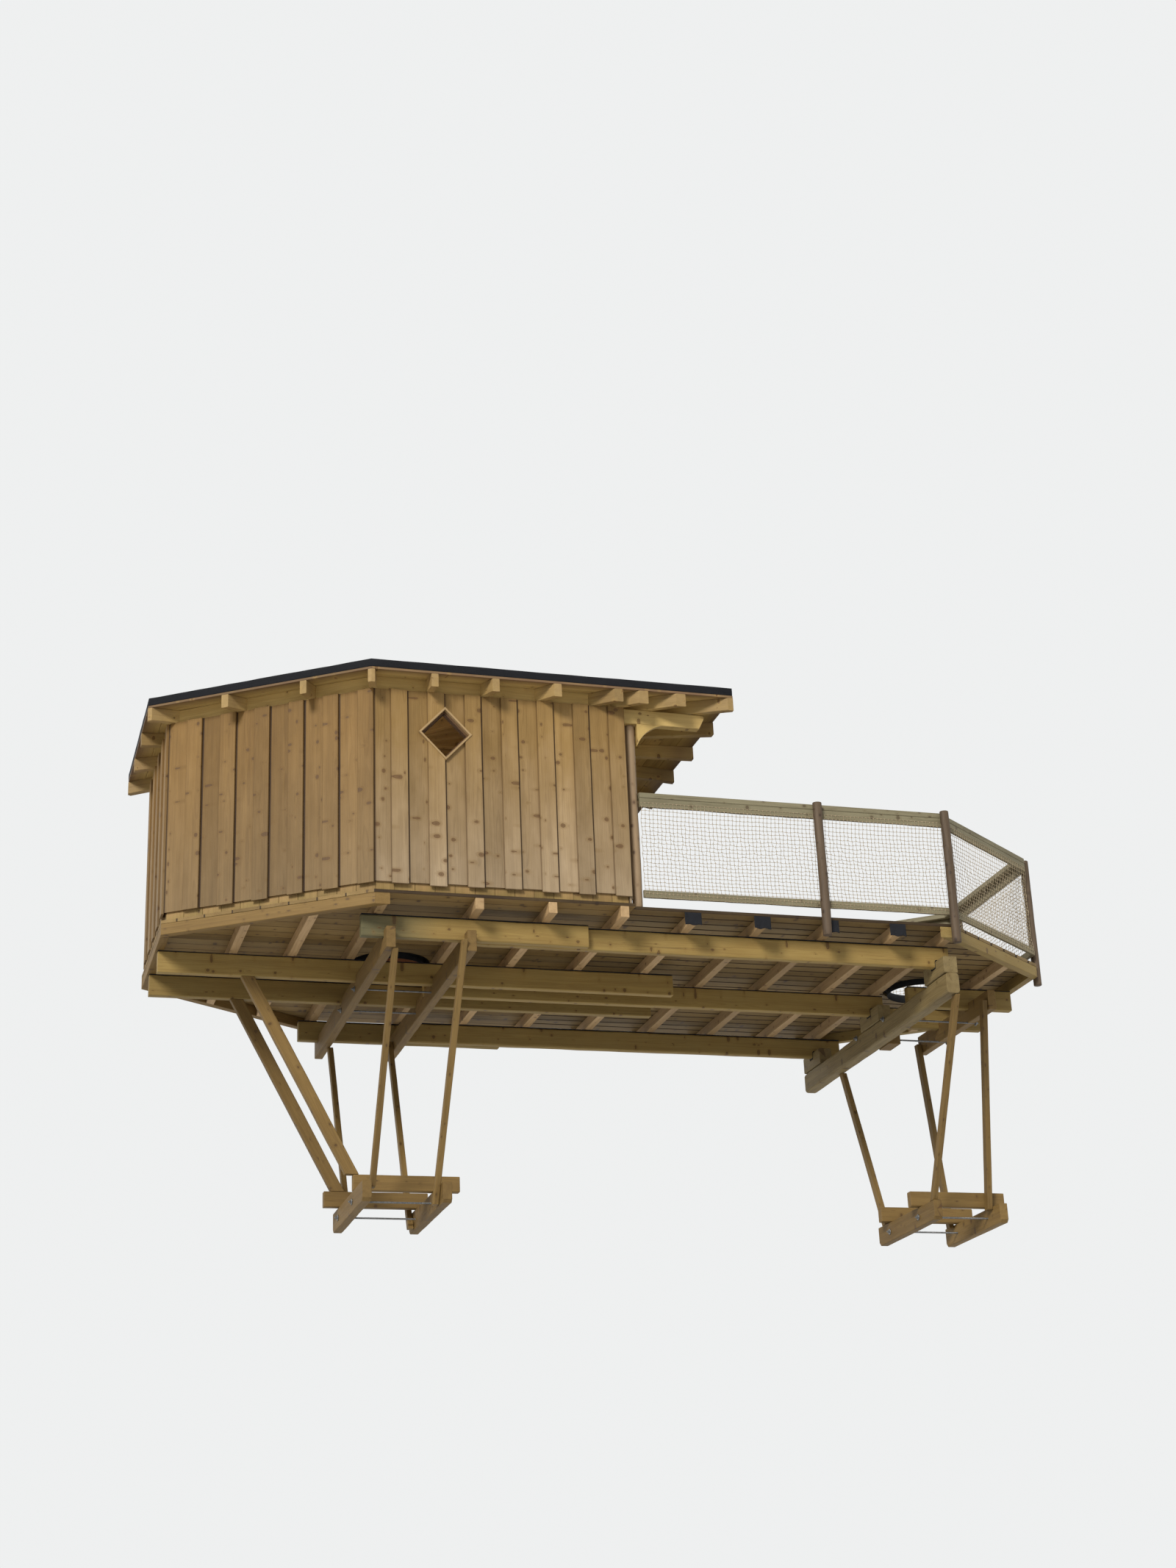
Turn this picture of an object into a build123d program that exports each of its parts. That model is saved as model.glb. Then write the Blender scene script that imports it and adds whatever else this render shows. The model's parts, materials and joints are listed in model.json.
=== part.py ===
from build123d import *
import os
from math import hypot

os.makedirs("parts", exist_ok=True)

# Tree house carried between two spruce trunks. Millimetres, +Z up, +X along the
# front from the cabin to the open deck, +Y away from the front. The origin is on
# the face of the front lower clamp timber that bears on the left trunk, at its mid
# height and on the axis of the trunk.

# Trees
trunk_radius = 300.0
tree_spacing = 5150.0
trunk_lean = 25.0

# Timber sections
beam_width = 80.0
beam_height = 190.0
beam_level = 1859.0
cross_height = 185.0
joist_width = 75.0
joist_height = 100.0
board_thickness = 28.0
felt_thickness = 4.0
strut_width = 50.0
strut_depth = 75.0
side_strut_depth = 120.0

# Platform plan, measured from the left tree
cabin_half_depth = 1850.0
deck_half_depth = 1800.0
left_end = 2082.0
cabin_corner = 470.0
side_cut_depth = 1080.0
deck_cut_depth = 960.0
deck_corner = 4680.0
deck_end = 5960.0

# Cabin
cabin_length_right = 1730.0
wall_frame = 50.0
cladding_thickness = 22.0
cladding_pitch = 319.0
cladding_board = 150.0
cladding_step = 17.0
cladding_drop = 55.0
doorway_width = 780.0
doorway_height = 1690.0
window_x = 137.0
window_height = 1427.0
window_half_width = 230.0
window_half_height = 243.0
window_frame_width = 30.0
glass_thickness = 4.0

# Roof
eave_overhang = 198.0
porch_overhang = 950.0
eave_height = 1893.0
roof_rise = 320.0
rafter_width = 60.0
rafter_depth = 120.0
roof_board_thickness = 22.0
roof_felt_thickness = 8.0
kerb_height = 74.0
kerb_thickness = 24.0
mitre_gap = 0.5

# Long beams, measured from the axis of the left tree
beam_row = 1540.0
left_beam_end = 540.0
lap_start = 420.0
lap_end = 1404.0
front_overhang = 10.0
back_overhang = 165.0
clamp_beam_left = 2060.0
clamp_beam_right = 2550.0

# Cross beams and their seats
notch_depth = 60.0
cross_reach = 1732.0
short_cross_reach = 800.0
bearing_width = 130.0
bearing_gap = 120.0
saddle_height = 92.0
liner_thickness = 8.0
saddle_cheek = 170.0
saddle_cheek_rise = 55.0
end_bearer_right = 5900.0

# Lower clamps
lower_timber_height = 138.0
lower_timber_reach = 459.0
front_timber_shift = 82.0
back_timber_shift = -48.0
right_clamp_drop = 37.0
lower_block_height = 175.0
lower_block_front = 790.0
middle_block_front = 680.0
lower_block_back = 590.0
lower_block_cut = 25.0

# Joists
joist_tree_gap = 403.0
joist_pitch = 626.0
joist_bays = 6
left_joist_pitch = 510.0
left_joist_count = 3
bearing_joist_x = 4660.0
outer_joist_gap = 380.0
joist_cap_drop = 14.0
joist_cap_side = 37.0

# Railing
rail_height = 1043.0
rail_cap_width = 90.0
rail_cap_thickness = 48.0
rail_board_height = 88.0
lower_rail_gap = 83.0
lower_rail_height = 70.0
rail_thickness = 28.0
rail_post_width = 88.0
rail_post_depth = 80.0
rail_post_drop = 182.0
mid_post_x = 3480.0
corner_post_shift = 12.0
net_thickness = 4.0
porch_post_size = 96.0
porch_post_x = 1806.0
plate_height = 130.0
plate_width = 80.0
plate_end_x = 2475.0
plate_end_cut = 45.0
brace_reach = 230.0
brace_drop = 200.0
brace_thickness = 45.0

# Rubber collars and threaded rods
collar_gap = 5.0
collar_thickness = 12.0
collar_flange = 90.0
collar_drop = 75.0
floor_hole_gap = 30.0
roof_hole_radius = 300.0
rod_radius = 8.0
rod_play = 0.5
rod_gap = 20.0
washer_radius = 26.0
washer_thickness = 6.0
rod_tail = 30.0

# Levels and lines that follow from the sizes
tree_y = trunk_radius
beam_top = beam_level + beam_height / 2
beam_bottom = beam_level - beam_height / 2
joist_bottom = beam_top + felt_thickness
joist_top = joist_bottom + joist_height
floor_top = joist_top + board_thickness
cladding_bottom = floor_top + cladding_drop
eave_level = floor_top + eave_height
cross_top = beam_bottom + notch_depth
cross_bottom = cross_top - cross_height
bearing_top = beam_bottom - liner_thickness - saddle_height
bearing_bottom = bearing_top - beam_height
bearing_right = tree_spacing - trunk_radius - bearing_gap
bearing_left = bearing_right - bearing_width
long_beam_end = bearing_right + front_overhang
back_beam_end = bearing_right + back_overhang
clamp_half = trunk_radius + beam_width
lower_timber_top = lower_timber_height / 2
block_top = -lower_timber_height / 2
block_bottom = block_top - lower_block_height
rail_top = floor_top + rail_height


def edge_line(ring, index, outward):
    """The ring's edge with this index, moved outwards: a point and a direction."""
    x0, y0 = ring[index]
    x1, y1 = ring[(index + 1) % len(ring)]
    length = hypot(x1 - x0, y1 - y0)
    ux, uy = (x1 - x0) / length, (y1 - y0) / length
    return (x0 + uy * outward, y0 - ux * outward), (ux, uy)


def meet(line_a, line_b):
    """The point where two lines in the plan cross."""
    (ax, ay), (ux, uy) = line_a
    (bx, by), (vx, vy) = line_b
    along = ((bx - ax) * vy - (by - ay) * vx) / (ux * vy - uy * vx)
    return ax + ux * along, ay + uy * along


def moved_ring(ring, outwards):
    """The ring with each edge moved outwards by its own amount."""
    count = len(ring)
    lines = [edge_line(ring, i, outwards[i]) for i in range(count)]
    return [meet(lines[i - 1], lines[i]) for i in range(count)]


def stretch(outer, inner, index):
    """The outline of one side of a border between two rings, mitred at its ends."""
    after = (index + 1) % len(outer)
    ux, uy = edge_line(outer, index, 0.0)[1]
    ux, uy = ux * mitre_gap / 2, uy * mitre_gap / 2
    return [
        (outer[index][0] + ux, outer[index][1] + uy),
        (outer[after][0] - ux, outer[after][1] - uy),
        (inner[after][0] - ux, inner[after][1] - uy),
        (inner[index][0] + ux, inner[index][1] + uy),
    ]


def plan_solid(points, bottom, top):
    """A vertical block with this outline in the plan."""
    with BuildPart() as block:
        with BuildSketch(Plane.XY.offset(bottom)):
            Polygon(*points, align=None)
        extrude(amount=top - bottom)
    return block.part


def box_solid(x_range, y_range, z_range):
    """A block between two corners."""
    (x0, x1), (y0, y1) = x_range, y_range
    return plan_solid([(x0, y0), (x1, y0), (x1, y1), (x0, y1)], *z_range)


def slanted_timber(foot, head, size_x, size_y):
    """A timber between two level cuts, from the centre of its foot to its head."""
    with BuildPart() as timber:
        with BuildSketch(Plane.XY.offset(foot[2])):
            with Locations((foot[0], foot[1])):
                Rectangle(size_x, size_y)
        with BuildSketch(Plane.XY.offset(head[2])):
            with Locations((head[0], head[1])):
                Rectangle(size_x, size_y)
        loft(ruled=True)
    return timber.part


def mirrored_y(y):
    """The same place on the other side of the trees."""
    return 2 * tree_y - y


def write(name, solids):
    """One node of solids, written under its own name."""
    solids = solids if isinstance(solids, list) else [solids]
    shapes = [solid for item in solids for solid in item.solids()]
    node = shapes[0] if len(shapes) == 1 else Compound(children=shapes)
    node.label = name
    export_step(node, f"parts/{name}.step")


# Rings of the plan: the cabin's wall line, the cabin floor and the open deck
deck_front = tree_y - deck_half_depth
deck_back = tree_y + deck_half_depth
wall_front = tree_y - cabin_half_depth
wall_back = mirrored_y(wall_front)
cabin_left = -left_end + cladding_thickness
cabin_ring = [
    (-cabin_corner, wall_front),
    (cabin_length_right, wall_front),
    (cabin_length_right, wall_back),
    (-cabin_corner, wall_back),
    (cabin_left, wall_back - side_cut_depth),
    (cabin_left, wall_front + side_cut_depth),
]
floor_ring = moved_ring(cabin_ring, [cladding_thickness] * 6)
deck_left = cabin_length_right + cladding_thickness + 3.0
deck_ring = [
    (deck_left, deck_front),
    (deck_corner, deck_front),
    (deck_end, deck_front + deck_cut_depth),
    (deck_end, deck_back - deck_cut_depth),
    (deck_corner, deck_back),
    (deck_left, deck_back),
]
roof_ring = moved_ring(
    cabin_ring,
    [eave_overhang, porch_overhang, eave_overhang, eave_overhang, eave_overhang, eave_overhang],
)
apex = (0.0, tree_y)
apex_share = 0.06
ground_of_roof = floor_top


def scaled_ring(ring, share):
    """The ring drawn towards the apex, as a level cut through the roof is."""
    return [(apex[0] + (x - apex[0]) * share, apex[1] + (y - apex[1]) * share) for x, y in ring]


def under_roof(level):
    """All the room under a roof surface whose eave is at this level."""
    near_apex = level + roof_rise * (1 - apex_share)
    ground_ring = [(x, y, ground_of_roof) for x, y in roof_ring]
    eave_ring = [(x, y, level) for x, y in roof_ring]
    apex_ring = [(x, y, near_apex) for x, y in scaled_ring(roof_ring, apex_share)]
    outlines = [ground_ring, apex_ring]
    for lower, upper in ((ground_ring, eave_ring), (eave_ring, apex_ring)):
        for i in range(len(roof_ring)):
            j = (i + 1) % len(roof_ring)
            outlines.append([lower[i], lower[j], upper[j], upper[i]])
    faces = [Face(Wire.make_polygon(outline, close=True)) for outline in outlines]
    with BuildPart() as room:
        add(Solid(Shell(faces)))
    return room.part


def trunk_hole(x, radius, bottom, top):
    """The round passage of a trunk."""
    with BuildPart() as hole:
        with BuildSketch(Plane.XY.offset(bottom)):
            with Locations((x, tree_y)):
                Circle(radius)
        extrude(amount=top - bottom)
    return hole.part


below_boards = under_roof(eave_level)
below_rafters = under_roof(eave_level - rafter_depth)
below_felt = under_roof(eave_level + roof_board_thickness)
below_sky = under_roof(eave_level + roof_board_thickness + roof_felt_thickness)
roof_hole = trunk_hole(0, roof_hole_radius, eave_level - rafter_depth, eave_level + 2 * roof_rise)

# Front beam: two lapped timbers, the left one nearer the front, and the same behind
front_lap = tree_y - beam_row
beam_z = (beam_bottom, beam_top)
row_left_y = (front_lap - beam_width, front_lap)
row_right_y = (front_lap, front_lap + beam_width)
back_left_y = (mirrored_y(row_left_y[1]), mirrored_y(row_left_y[0]))
back_right_y = (mirrored_y(row_right_y[1]), mirrored_y(row_right_y[0]))
write("front_beam_left", box_solid((-left_beam_end, lap_end), row_left_y, beam_z))
write("front_beam_right", box_solid((lap_start, long_beam_end), row_right_y, beam_z))
write("back_beam_left", box_solid((-left_beam_end, lap_end), back_left_y, beam_z))
write("back_beam_right", box_solid((lap_start, back_beam_end), back_right_y, beam_z))

# Clamp beams on both faces of the left trunk, and the middle beam beside it
front_clamp_y = (-beam_width, 0.0)
back_clamp_y = (mirrored_y(0.0), mirrored_y(-beam_width))
middle_y = (tree_y - beam_width / 2, tree_y + beam_width / 2)
clamp_x = (-clamp_beam_left, clamp_beam_right)
write("front_clamp_beam", box_solid(clamp_x, front_clamp_y, beam_z))
write("back_clamp_beam", box_solid(clamp_x, back_clamp_y, beam_z))
middle_x = (trunk_lean + trunk_radius, long_beam_end)
write("middle_beam", box_solid(middle_x, middle_y, beam_z))

# End bearers on both faces of the right trunk
bearer_x = (tree_spacing - trunk_radius, end_bearer_right)
write(
    "end_bearers",
    [box_solid(bearer_x, front_clamp_y, beam_z), box_solid(bearer_x, back_clamp_y, beam_z)],
)

# Rods: their lines, and the holes that they need
rod_front_y = -rod_gap - rod_radius
rod_lines_y = (rod_front_y, mirrored_y(rod_front_y))
left_rod_z = (cross_top + cross_bottom) / 2 - 25.0
right_rod_z = bearing_top - 20.0
lower_rod_z = (block_top + block_bottom) / 2


def rod_pair(x_range, z, radius, washers):
    """Two level rods along X in front of and behind a trunk, with their washers."""
    x0, x1 = x_range
    pieces = []
    for y in rod_lines_y:
        with BuildPart() as rod:
            with BuildSketch(Plane.YZ.offset(x0 - rod_tail)):
                with Locations((y, z)):
                    Circle(radius)
            extrude(amount=x1 - x0 + 2 * rod_tail)
            if washers:
                for x in (x0 - washer_thickness, x1):
                    with BuildSketch(Plane.YZ.offset(x)):
                        with Locations((y, z)):
                            Circle(washer_radius)
                    extrude(amount=washer_thickness)
        pieces.append(rod.part)
    return pieces


left_rod_x = (trunk_lean - clamp_half, trunk_lean + clamp_half)
right_rod_x = (bearing_left, tree_spacing + clamp_half)
lower_left_x = (-clamp_half, clamp_half)
lower_right_x = (tree_spacing - clamp_half, tree_spacing + clamp_half)
lower_right_rod_z = lower_rod_z - right_clamp_drop
hole_radius = rod_radius + rod_play
left_holes = rod_pair(left_rod_x, left_rod_z, hole_radius, False)
right_holes = rod_pair(right_rod_x, right_rod_z, hole_radius, False)
lower_holes = rod_pair(lower_left_x, lower_rod_z, hole_radius, False)
lower_holes += rod_pair(lower_right_x, lower_right_rod_z, hole_radius, False)
write("upper_clamp_rods", rod_pair(left_rod_x, left_rod_z, rod_radius, True)
      + rod_pair(right_rod_x, right_rod_z, rod_radius, True))
write("lower_clamp_rods", rod_pair(lower_left_x, lower_rod_z, rod_radius, True)
      + rod_pair(lower_right_x, lower_right_rod_z, rod_radius, True))

# Cross beams on the sides of the trunks, notched for the beams that they carry
row_cross_y = (row_left_y, back_left_y)
tree_cross_y = (front_clamp_y, back_clamp_y)


def cross_beam(x_range, reach, carried, holes):
    """A timber beside a trunk, notched on top for each carried beam."""
    with BuildPart() as beam:
        add(box_solid(x_range, (tree_y - reach, tree_y + reach), (cross_bottom, cross_top)))
        for y_range in carried:
            add(box_solid(x_range, y_range, (beam_bottom, beam_top)), mode=Mode.SUBTRACT)
        for hole in holes:
            add(hole, mode=Mode.SUBTRACT)
    return beam.part


def side_range(tree_x, side):
    """The range in X of a timber that lies against one side of a trunk."""
    near, far = tree_x + side * trunk_radius, tree_x + side * (trunk_radius + beam_width)
    return min(near, far), max(near, far)


left_cross = [
    cross_beam(side_range(trunk_lean, -1), cross_reach, row_cross_y + tree_cross_y, left_holes),
    cross_beam(
        side_range(trunk_lean, 1), cross_reach, row_cross_y + tree_cross_y + (middle_y,), left_holes
    ),
]
write("left_tree_cross_beams", left_cross)
write(
    "right_tree_cross_beam",
    cross_beam(side_range(tree_spacing, 1), short_cross_reach, tree_cross_y, right_holes),
)

# Bearing beam of the right tree, which carries the long beams in lined saddles
bearing_x = (bearing_left, bearing_right)
with BuildPart() as bearing_beam:
    add(box_solid(bearing_x, (tree_y - cross_reach, tree_y + cross_reach), (bearing_bottom, bearing_top)))
    for hole in right_holes:
        add(hole, mode=Mode.SUBTRACT)
bearing_beam.part.label = "bearing_beam"
write("bearing_beam", bearing_beam.part)

packing_half = 120.0
write(
    "bearing_packing",
    box_solid(
        (bearing_right, tree_spacing - trunk_radius),
        (tree_y - packing_half, tree_y + packing_half),
        (bearing_bottom, bearing_top),
    ),
)


def saddle(y_range):
    """A block with two cheeks, and the rubber that lines the seat between them."""
    y0, y1 = y_range
    seat = (y0 - liner_thickness, y1 + liner_thickness)
    cheek_top = beam_bottom + saddle_cheek_rise
    with BuildPart() as block:
        cheeks = (seat[0] - saddle_cheek, seat[1] + saddle_cheek)
        add(box_solid(bearing_x, cheeks, (bearing_top, cheek_top)))
        add(box_solid(bearing_x, seat, (bearing_top + saddle_height, cheek_top)), mode=Mode.SUBTRACT)
    with BuildPart() as liner:
        add(box_solid(bearing_x, seat, (bearing_top + saddle_height, cheek_top)))
        add(box_solid(bearing_x, y_range, (beam_bottom, cheek_top)), mode=Mode.SUBTRACT)
    return block.part, liner.part


saddles = [saddle(y_range) for y_range in (row_right_y, middle_y, back_right_y)]
write("bearing_saddles", [block for block, liner in saddles])
write("saddle_liners", [liner for block, liner in saddles])

# Lower clamps: two blocks beside each trunk with two timbers across them, the
# right ones a little lower


def lower_block(x_range, front, back, drop):
    """A block beside a trunk whose lower corners are cut off."""
    y0, y1 = tree_y - front, tree_y + back
    top, bottom = block_top - drop, block_bottom - drop
    with BuildPart() as block:
        with BuildSketch(Plane.YZ.offset(x_range[0])):
            Polygon(
                (y0, top), (y0, bottom + lower_block_cut), (y0 + lower_block_cut, bottom),
                (y1 - lower_block_cut, bottom), (y1, bottom + lower_block_cut), (y1, top),
                align=None,
            )
        extrude(amount=x_range[1] - x_range[0])
        for hole in lower_holes:
            add(hole, mode=Mode.SUBTRACT)
    return block.part


right_left_side = side_range(tree_spacing, -1)
right_right_side = side_range(tree_spacing, 1)
write(
    "lower_clamp_blocks",
    [
        lower_block(side_range(0.0, -1), lower_block_front, lower_block_back, 0.0),
        lower_block(side_range(0.0, 1), lower_block_front, lower_block_back, 0.0),
        lower_block(right_left_side, middle_block_front, lower_block_back, right_clamp_drop),
        lower_block(right_right_side, lower_block_back, lower_block_back, right_clamp_drop),
    ],
)
lower_timbers = []
for timber_x, y_range, drop in (
    (front_timber_shift, front_clamp_y, 0.0),
    (back_timber_shift, back_clamp_y, 0.0),
    (tree_spacing, front_clamp_y, right_clamp_drop),
    (tree_spacing, back_clamp_y, right_clamp_drop),
):
    x_range = (timber_x - lower_timber_reach, timber_x + lower_timber_reach)
    lower_timbers.append(box_solid(x_range, y_range, (block_top - drop, lower_timber_top - drop)))
write("lower_clamp_timbers", lower_timbers)

# Struts of the left tree: beside the inner faces of the blocks, on the left up to
# the underside of the cross beam and on the right up to its inner face
foot_gap = 120.0
head_gap = 47.0
front_foot_y = tree_y - lower_block_front + foot_gap
back_foot_y = tree_y + lower_block_back - foot_gap
front_head_y = tree_y - cross_reach + head_gap
back_head_y = 1640.0
strut_half = strut_width / 2
left_foot_z = block_top - 40.0
right_foot_z = block_bottom + 15.0
right_head_z = cross_bottom + 90.0
strut_lean = trunk_lean / (right_head_z - block_top)
right_foot_x = trunk_radius - strut_half - strut_lean * (block_top - right_foot_z)
right_head_x = trunk_radius + trunk_lean - strut_half
left_struts = []
for foot_y, head_y in ((front_foot_y, front_head_y), (back_foot_y, back_head_y)):
    left_struts.append(slanted_timber(
        (strut_half - trunk_radius, foot_y, left_foot_z),
        (strut_half - trunk_radius, head_y, cross_bottom),
        strut_width, strut_depth,
    ))
    rise = (head_y - foot_y) / (cross_bottom - left_foot_z)
    left_struts.append(slanted_timber(
        (right_foot_x, foot_y - rise * (left_foot_z - right_foot_z), right_foot_z),
        (right_head_x, head_y + rise * (right_head_z - cross_bottom), right_head_z),
        strut_width, strut_depth,
    ))
write("left_tree_struts", left_struts)

# Struts of the right tree: on top of the block beside the bearing beam, and along
# the inner faces of the block and the cross beam on the other side
right_block_top = block_top - right_clamp_drop
middle_foot_x = tree_spacing - clamp_half + strut_half + 5.0
middle_head_x = bearing_right - strut_half
middle_front_y = tree_y - middle_block_front + 60.0
middle_back_head_y = 1276.0
right_struts = [
    slanted_timber(
        (middle_foot_x, middle_front_y, right_block_top),
        (middle_head_x, front_head_y, bearing_bottom),
        strut_width, strut_depth,
    ),
    slanted_timber(
        (middle_foot_x, back_foot_y, right_block_top),
        (middle_head_x, middle_back_head_y, bearing_bottom),
        strut_width, strut_depth,
    ),
]
outer_strut_x = tree_spacing + trunk_radius - strut_half
outer_foot_z = right_block_top - 30.0
short_head_y = tree_y - short_cross_reach + head_gap
short_foot_y = front_clamp_y[0] - strut_depth / 2 - 0.5
for foot_y, head_y in (
    (short_foot_y, short_head_y), (mirrored_y(short_foot_y), mirrored_y(short_head_y))
):
    right_struts.append(slanted_timber(
        (outer_strut_x, foot_y, outer_foot_z), (outer_strut_x, head_y, right_head_z),
        strut_width, strut_depth,
    ))
write("right_tree_struts", right_struts)

# Side struts from the timbers of the left tree up to its clamp beams
side_strut_head = -1290.0
side_strut_foot = front_timber_shift - lower_timber_reach - 8.0
side_struts = []
for y_range in (front_clamp_y, back_clamp_y):
    middle = (y_range[0] + y_range[1]) / 2
    foot = (side_strut_foot, middle, lower_timber_top)
    head = (side_strut_head, middle, beam_bottom)
    side_struts.append(slanted_timber(foot, head, side_strut_depth, strut_depth))
write("side_struts", side_struts)

# Felt strips on top of the long beams
felt_z = (beam_top, joist_bottom)
felt_strips = []
for x_range, y_range in (
    ((-left_beam_end, lap_end), row_left_y),
    ((lap_start, long_beam_end), row_right_y),
    ((-left_beam_end, lap_end), back_left_y),
    ((lap_start, back_beam_end), back_right_y),
    (clamp_x, front_clamp_y),
    (clamp_x, back_clamp_y),
    (middle_x, middle_y),
    (bearer_x, front_clamp_y),
    (bearer_x, back_clamp_y),
):
    felt_strips.append(box_solid(x_range, y_range, felt_z))
with BuildPart() as beam_felt:
    add(felt_strips)
write("beam_felt", beam_felt.part)

# Joists across the beams, ended by the rim beams where the platform's sides slant
joist_z = (joist_bottom, joist_top)
joist_front = min(wall_front, deck_front) - joist_width
rim = joist_width
joist_field = moved_ring(floor_ring, [0.0, 0.0, 0.0, -rim, -rim, -rim])
deck_field = moved_ring(deck_ring, [-felt_thickness, -rim, -rim, -rim, -felt_thickness, 0.0])


def joist_row(positions, field):
    """Joists along Y at these places, cut to the outline of the field."""
    outline = plan_solid(field, *joist_z)
    row = []
    for x in positions:
        blank = box_solid(
            (x - joist_width / 2, x + joist_width / 2), (joist_front, mirrored_y(joist_front)), joist_z
        )
        with BuildPart() as joist:
            add(blank)
            add(outline, mode=Mode.INTERSECT)
        row.append(joist.part)
    return row


left_joists = [-joist_tree_gap - i * left_joist_pitch for i in range(left_joist_count)]
long_joists = [joist_tree_gap + i * joist_pitch for i in range(joist_bays + 1)]
cabin_joists = left_joists + [x for x in long_joists if x < cabin_length_right]
last_open_joist = deck_corner - joist_width - rim
open_joists = [x for x in long_joists if deck_left + joist_width < x < last_open_joist]
deck_joists = open_joists + [bearing_joist_x, tree_spacing + outer_joist_gap]
write("cabin_joists", joist_row(cabin_joists, joist_field))
write("deck_joists", joist_row(deck_joists, deck_field))

# Felt caps over the ends of the deck joists that reach the front and the back
cap_half = joist_width / 2 + joist_cap_side
joist_caps = []
for x in open_joists:
    for y in (deck_front, deck_back - felt_thickness):
        joist_caps.append(
            box_solid(
                (x - cap_half, x + cap_half), (y, y + felt_thickness),
                (joist_bottom - joist_cap_drop, joist_top),
            )
        )
write("joist_end_caps", joist_caps)

# Rim beams under the slanting sides and the ends of the platform, the slanting
# ones run through and the one between them fits in


def rim_beams(ring, first):
    """Three rim beams along the ring's side with this index and the next two."""
    lines = [edge_line(ring, i % 6, 0.0) for i in range(first - 1, first + 4)]
    inner = [edge_line(ring, i % 6, -rim) for i in range(first, first + 3)]
    fitted = edge_line(ring, (first + 2) % 6, -rim - mitre_gap)
    fitted_first = edge_line(ring, first % 6, -rim - mitre_gap)
    outlines = [
        [meet(lines[1], lines[0]), meet(inner[0], lines[0]), meet(inner[0], lines[2]),
         meet(lines[1], lines[2])],
        [meet(fitted_first, lines[2]), meet(fitted_first, inner[1]), meet(fitted, inner[1]),
         meet(fitted, lines[2])],
        [meet(lines[3], lines[4]), meet(inner[2], lines[4]), meet(inner[2], lines[2]),
         meet(lines[3], lines[2])],
    ]
    return [plan_solid(outline, *joist_z) for outline in outlines]


write("cabin_rim_beams", rim_beams(floor_ring, 3))
write("deck_rim_beams", rim_beams(deck_ring, 1))

# Floors with the round passages of the trunks
floor_hole_radius = trunk_radius + floor_hole_gap
with BuildPart() as cabin_floor:
    add(plan_solid(floor_ring, joist_top, floor_top))
    add(trunk_hole(trunk_lean, floor_hole_radius, joist_top, floor_top), mode=Mode.SUBTRACT)
write("cabin_floor", cabin_floor.part)

with BuildPart() as deck_floor:
    add(plan_solid(deck_ring, joist_top, floor_top))
    add(trunk_hole(tree_spacing, floor_hole_radius, joist_top, floor_top), mode=Mode.SUBTRACT)
write("deck_floor", deck_floor.part)

# Rubber collars: a sleeve round each trunk with a flange that lies on the floor
collars = []
for tree_x in (trunk_lean, tree_spacing):
    inner = trunk_radius + collar_gap
    with BuildPart() as collar:
        with BuildSketch(Plane.XY.offset(floor_top - collar_drop)):
            with Locations((tree_x, tree_y)):
                Circle(inner + collar_thickness)
                Circle(inner, mode=Mode.SUBTRACT)
        extrude(amount=collar_drop + felt_thickness)
        with BuildSketch(Plane.XY.offset(floor_top)):
            with Locations((tree_x, tree_y)):
                Circle(inner + collar_flange)
                Circle(inner, mode=Mode.SUBTRACT)
        extrude(amount=felt_thickness)
    collars.append(collar.part)
write("trunk_collars", collars)

# Walls: a frame with boards on boards outside, mitred at the corners and cut to
# the rafters above
frame_ring = moved_ring(cabin_ring, [-cladding_thickness] * 6)
inner_ring = moved_ring(cabin_ring, [-cladding_thickness - wall_frame] * 6)
wall_reach = eave_level + roof_rise


def wall(index, plate):
    """One wall of the cabin. A plate, where it has one, lies on top of its frame."""
    after = (index + 1) % 6
    start, end = cabin_ring[index], cabin_ring[after]
    length = hypot(end[0] - start[0], end[1] - start[1])
    count = 1 + int((length - cladding_board) // cladding_pitch)
    board_half = cladding_board / 2
    middles = [length - i * cladding_pitch - board_half for i in range(count)]
    along = ((end[0] - start[0]) / length, (end[1] - start[1]) / length)
    outside = Plane(
        origin=(start[0], start[1], cladding_bottom),
        x_dir=(along[0], along[1], 0),
        z_dir=(along[1], -along[0], 0),
    )
    with BuildPart() as panel:
        add(plan_solid(
            [frame_ring[index], frame_ring[after], inner_ring[after], inner_ring[index]],
            floor_top, wall_reach,
        ))
        if plate:
            add(plate, mode=Mode.SUBTRACT)
        add(plan_solid(
            [cabin_ring[index], cabin_ring[after], frame_ring[after], frame_ring[index]],
            cladding_bottom + cladding_step, wall_reach,
        ))
        with BuildSketch(outside):
            with Locations(*[(middle, (wall_reach - cladding_bottom) / 2) for middle in middles]):
                Rectangle(cladding_board, wall_reach - cladding_bottom)
        extrude(amount=cladding_thickness)
        add(below_rafters, mode=Mode.INTERSECT)
    return panel.part


# Top plates over the front and back frames, which run on past the cabin to carry
# the roof of the porch
plate_front_y = wall_front + cladding_thickness
plate_y = (plate_front_y, plate_front_y + plate_width)
plate_top = eave_level - rafter_depth + roof_rise * eave_overhang / (tree_y - roof_ring[0][1])
plate_z = (plate_top - plate_height, plate_top)
plate_bevel = 12.0
plate_start = frame_ring[0][0] + plate_width


def top_plate(y_range):
    """A plate bevelled to the rafters, whose free end is cut back from below."""
    with BuildPart() as plate:
        with BuildSketch(Plane.XZ.offset(-y_range[1])):
            Polygon(
                (plate_start, plate_z[0]), (plate_end_x - plate_end_cut, plate_z[0]),
                (plate_end_x, plate_z[0] + 2 * plate_end_cut),
                (plate_end_x, plate_z[1] + plate_bevel), (plate_start, plate_z[1] + plate_bevel),
                align=None,
            )
        extrude(amount=y_range[1] - y_range[0])
        add(below_rafters, mode=Mode.INTERSECT)
    return plate.part


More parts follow.
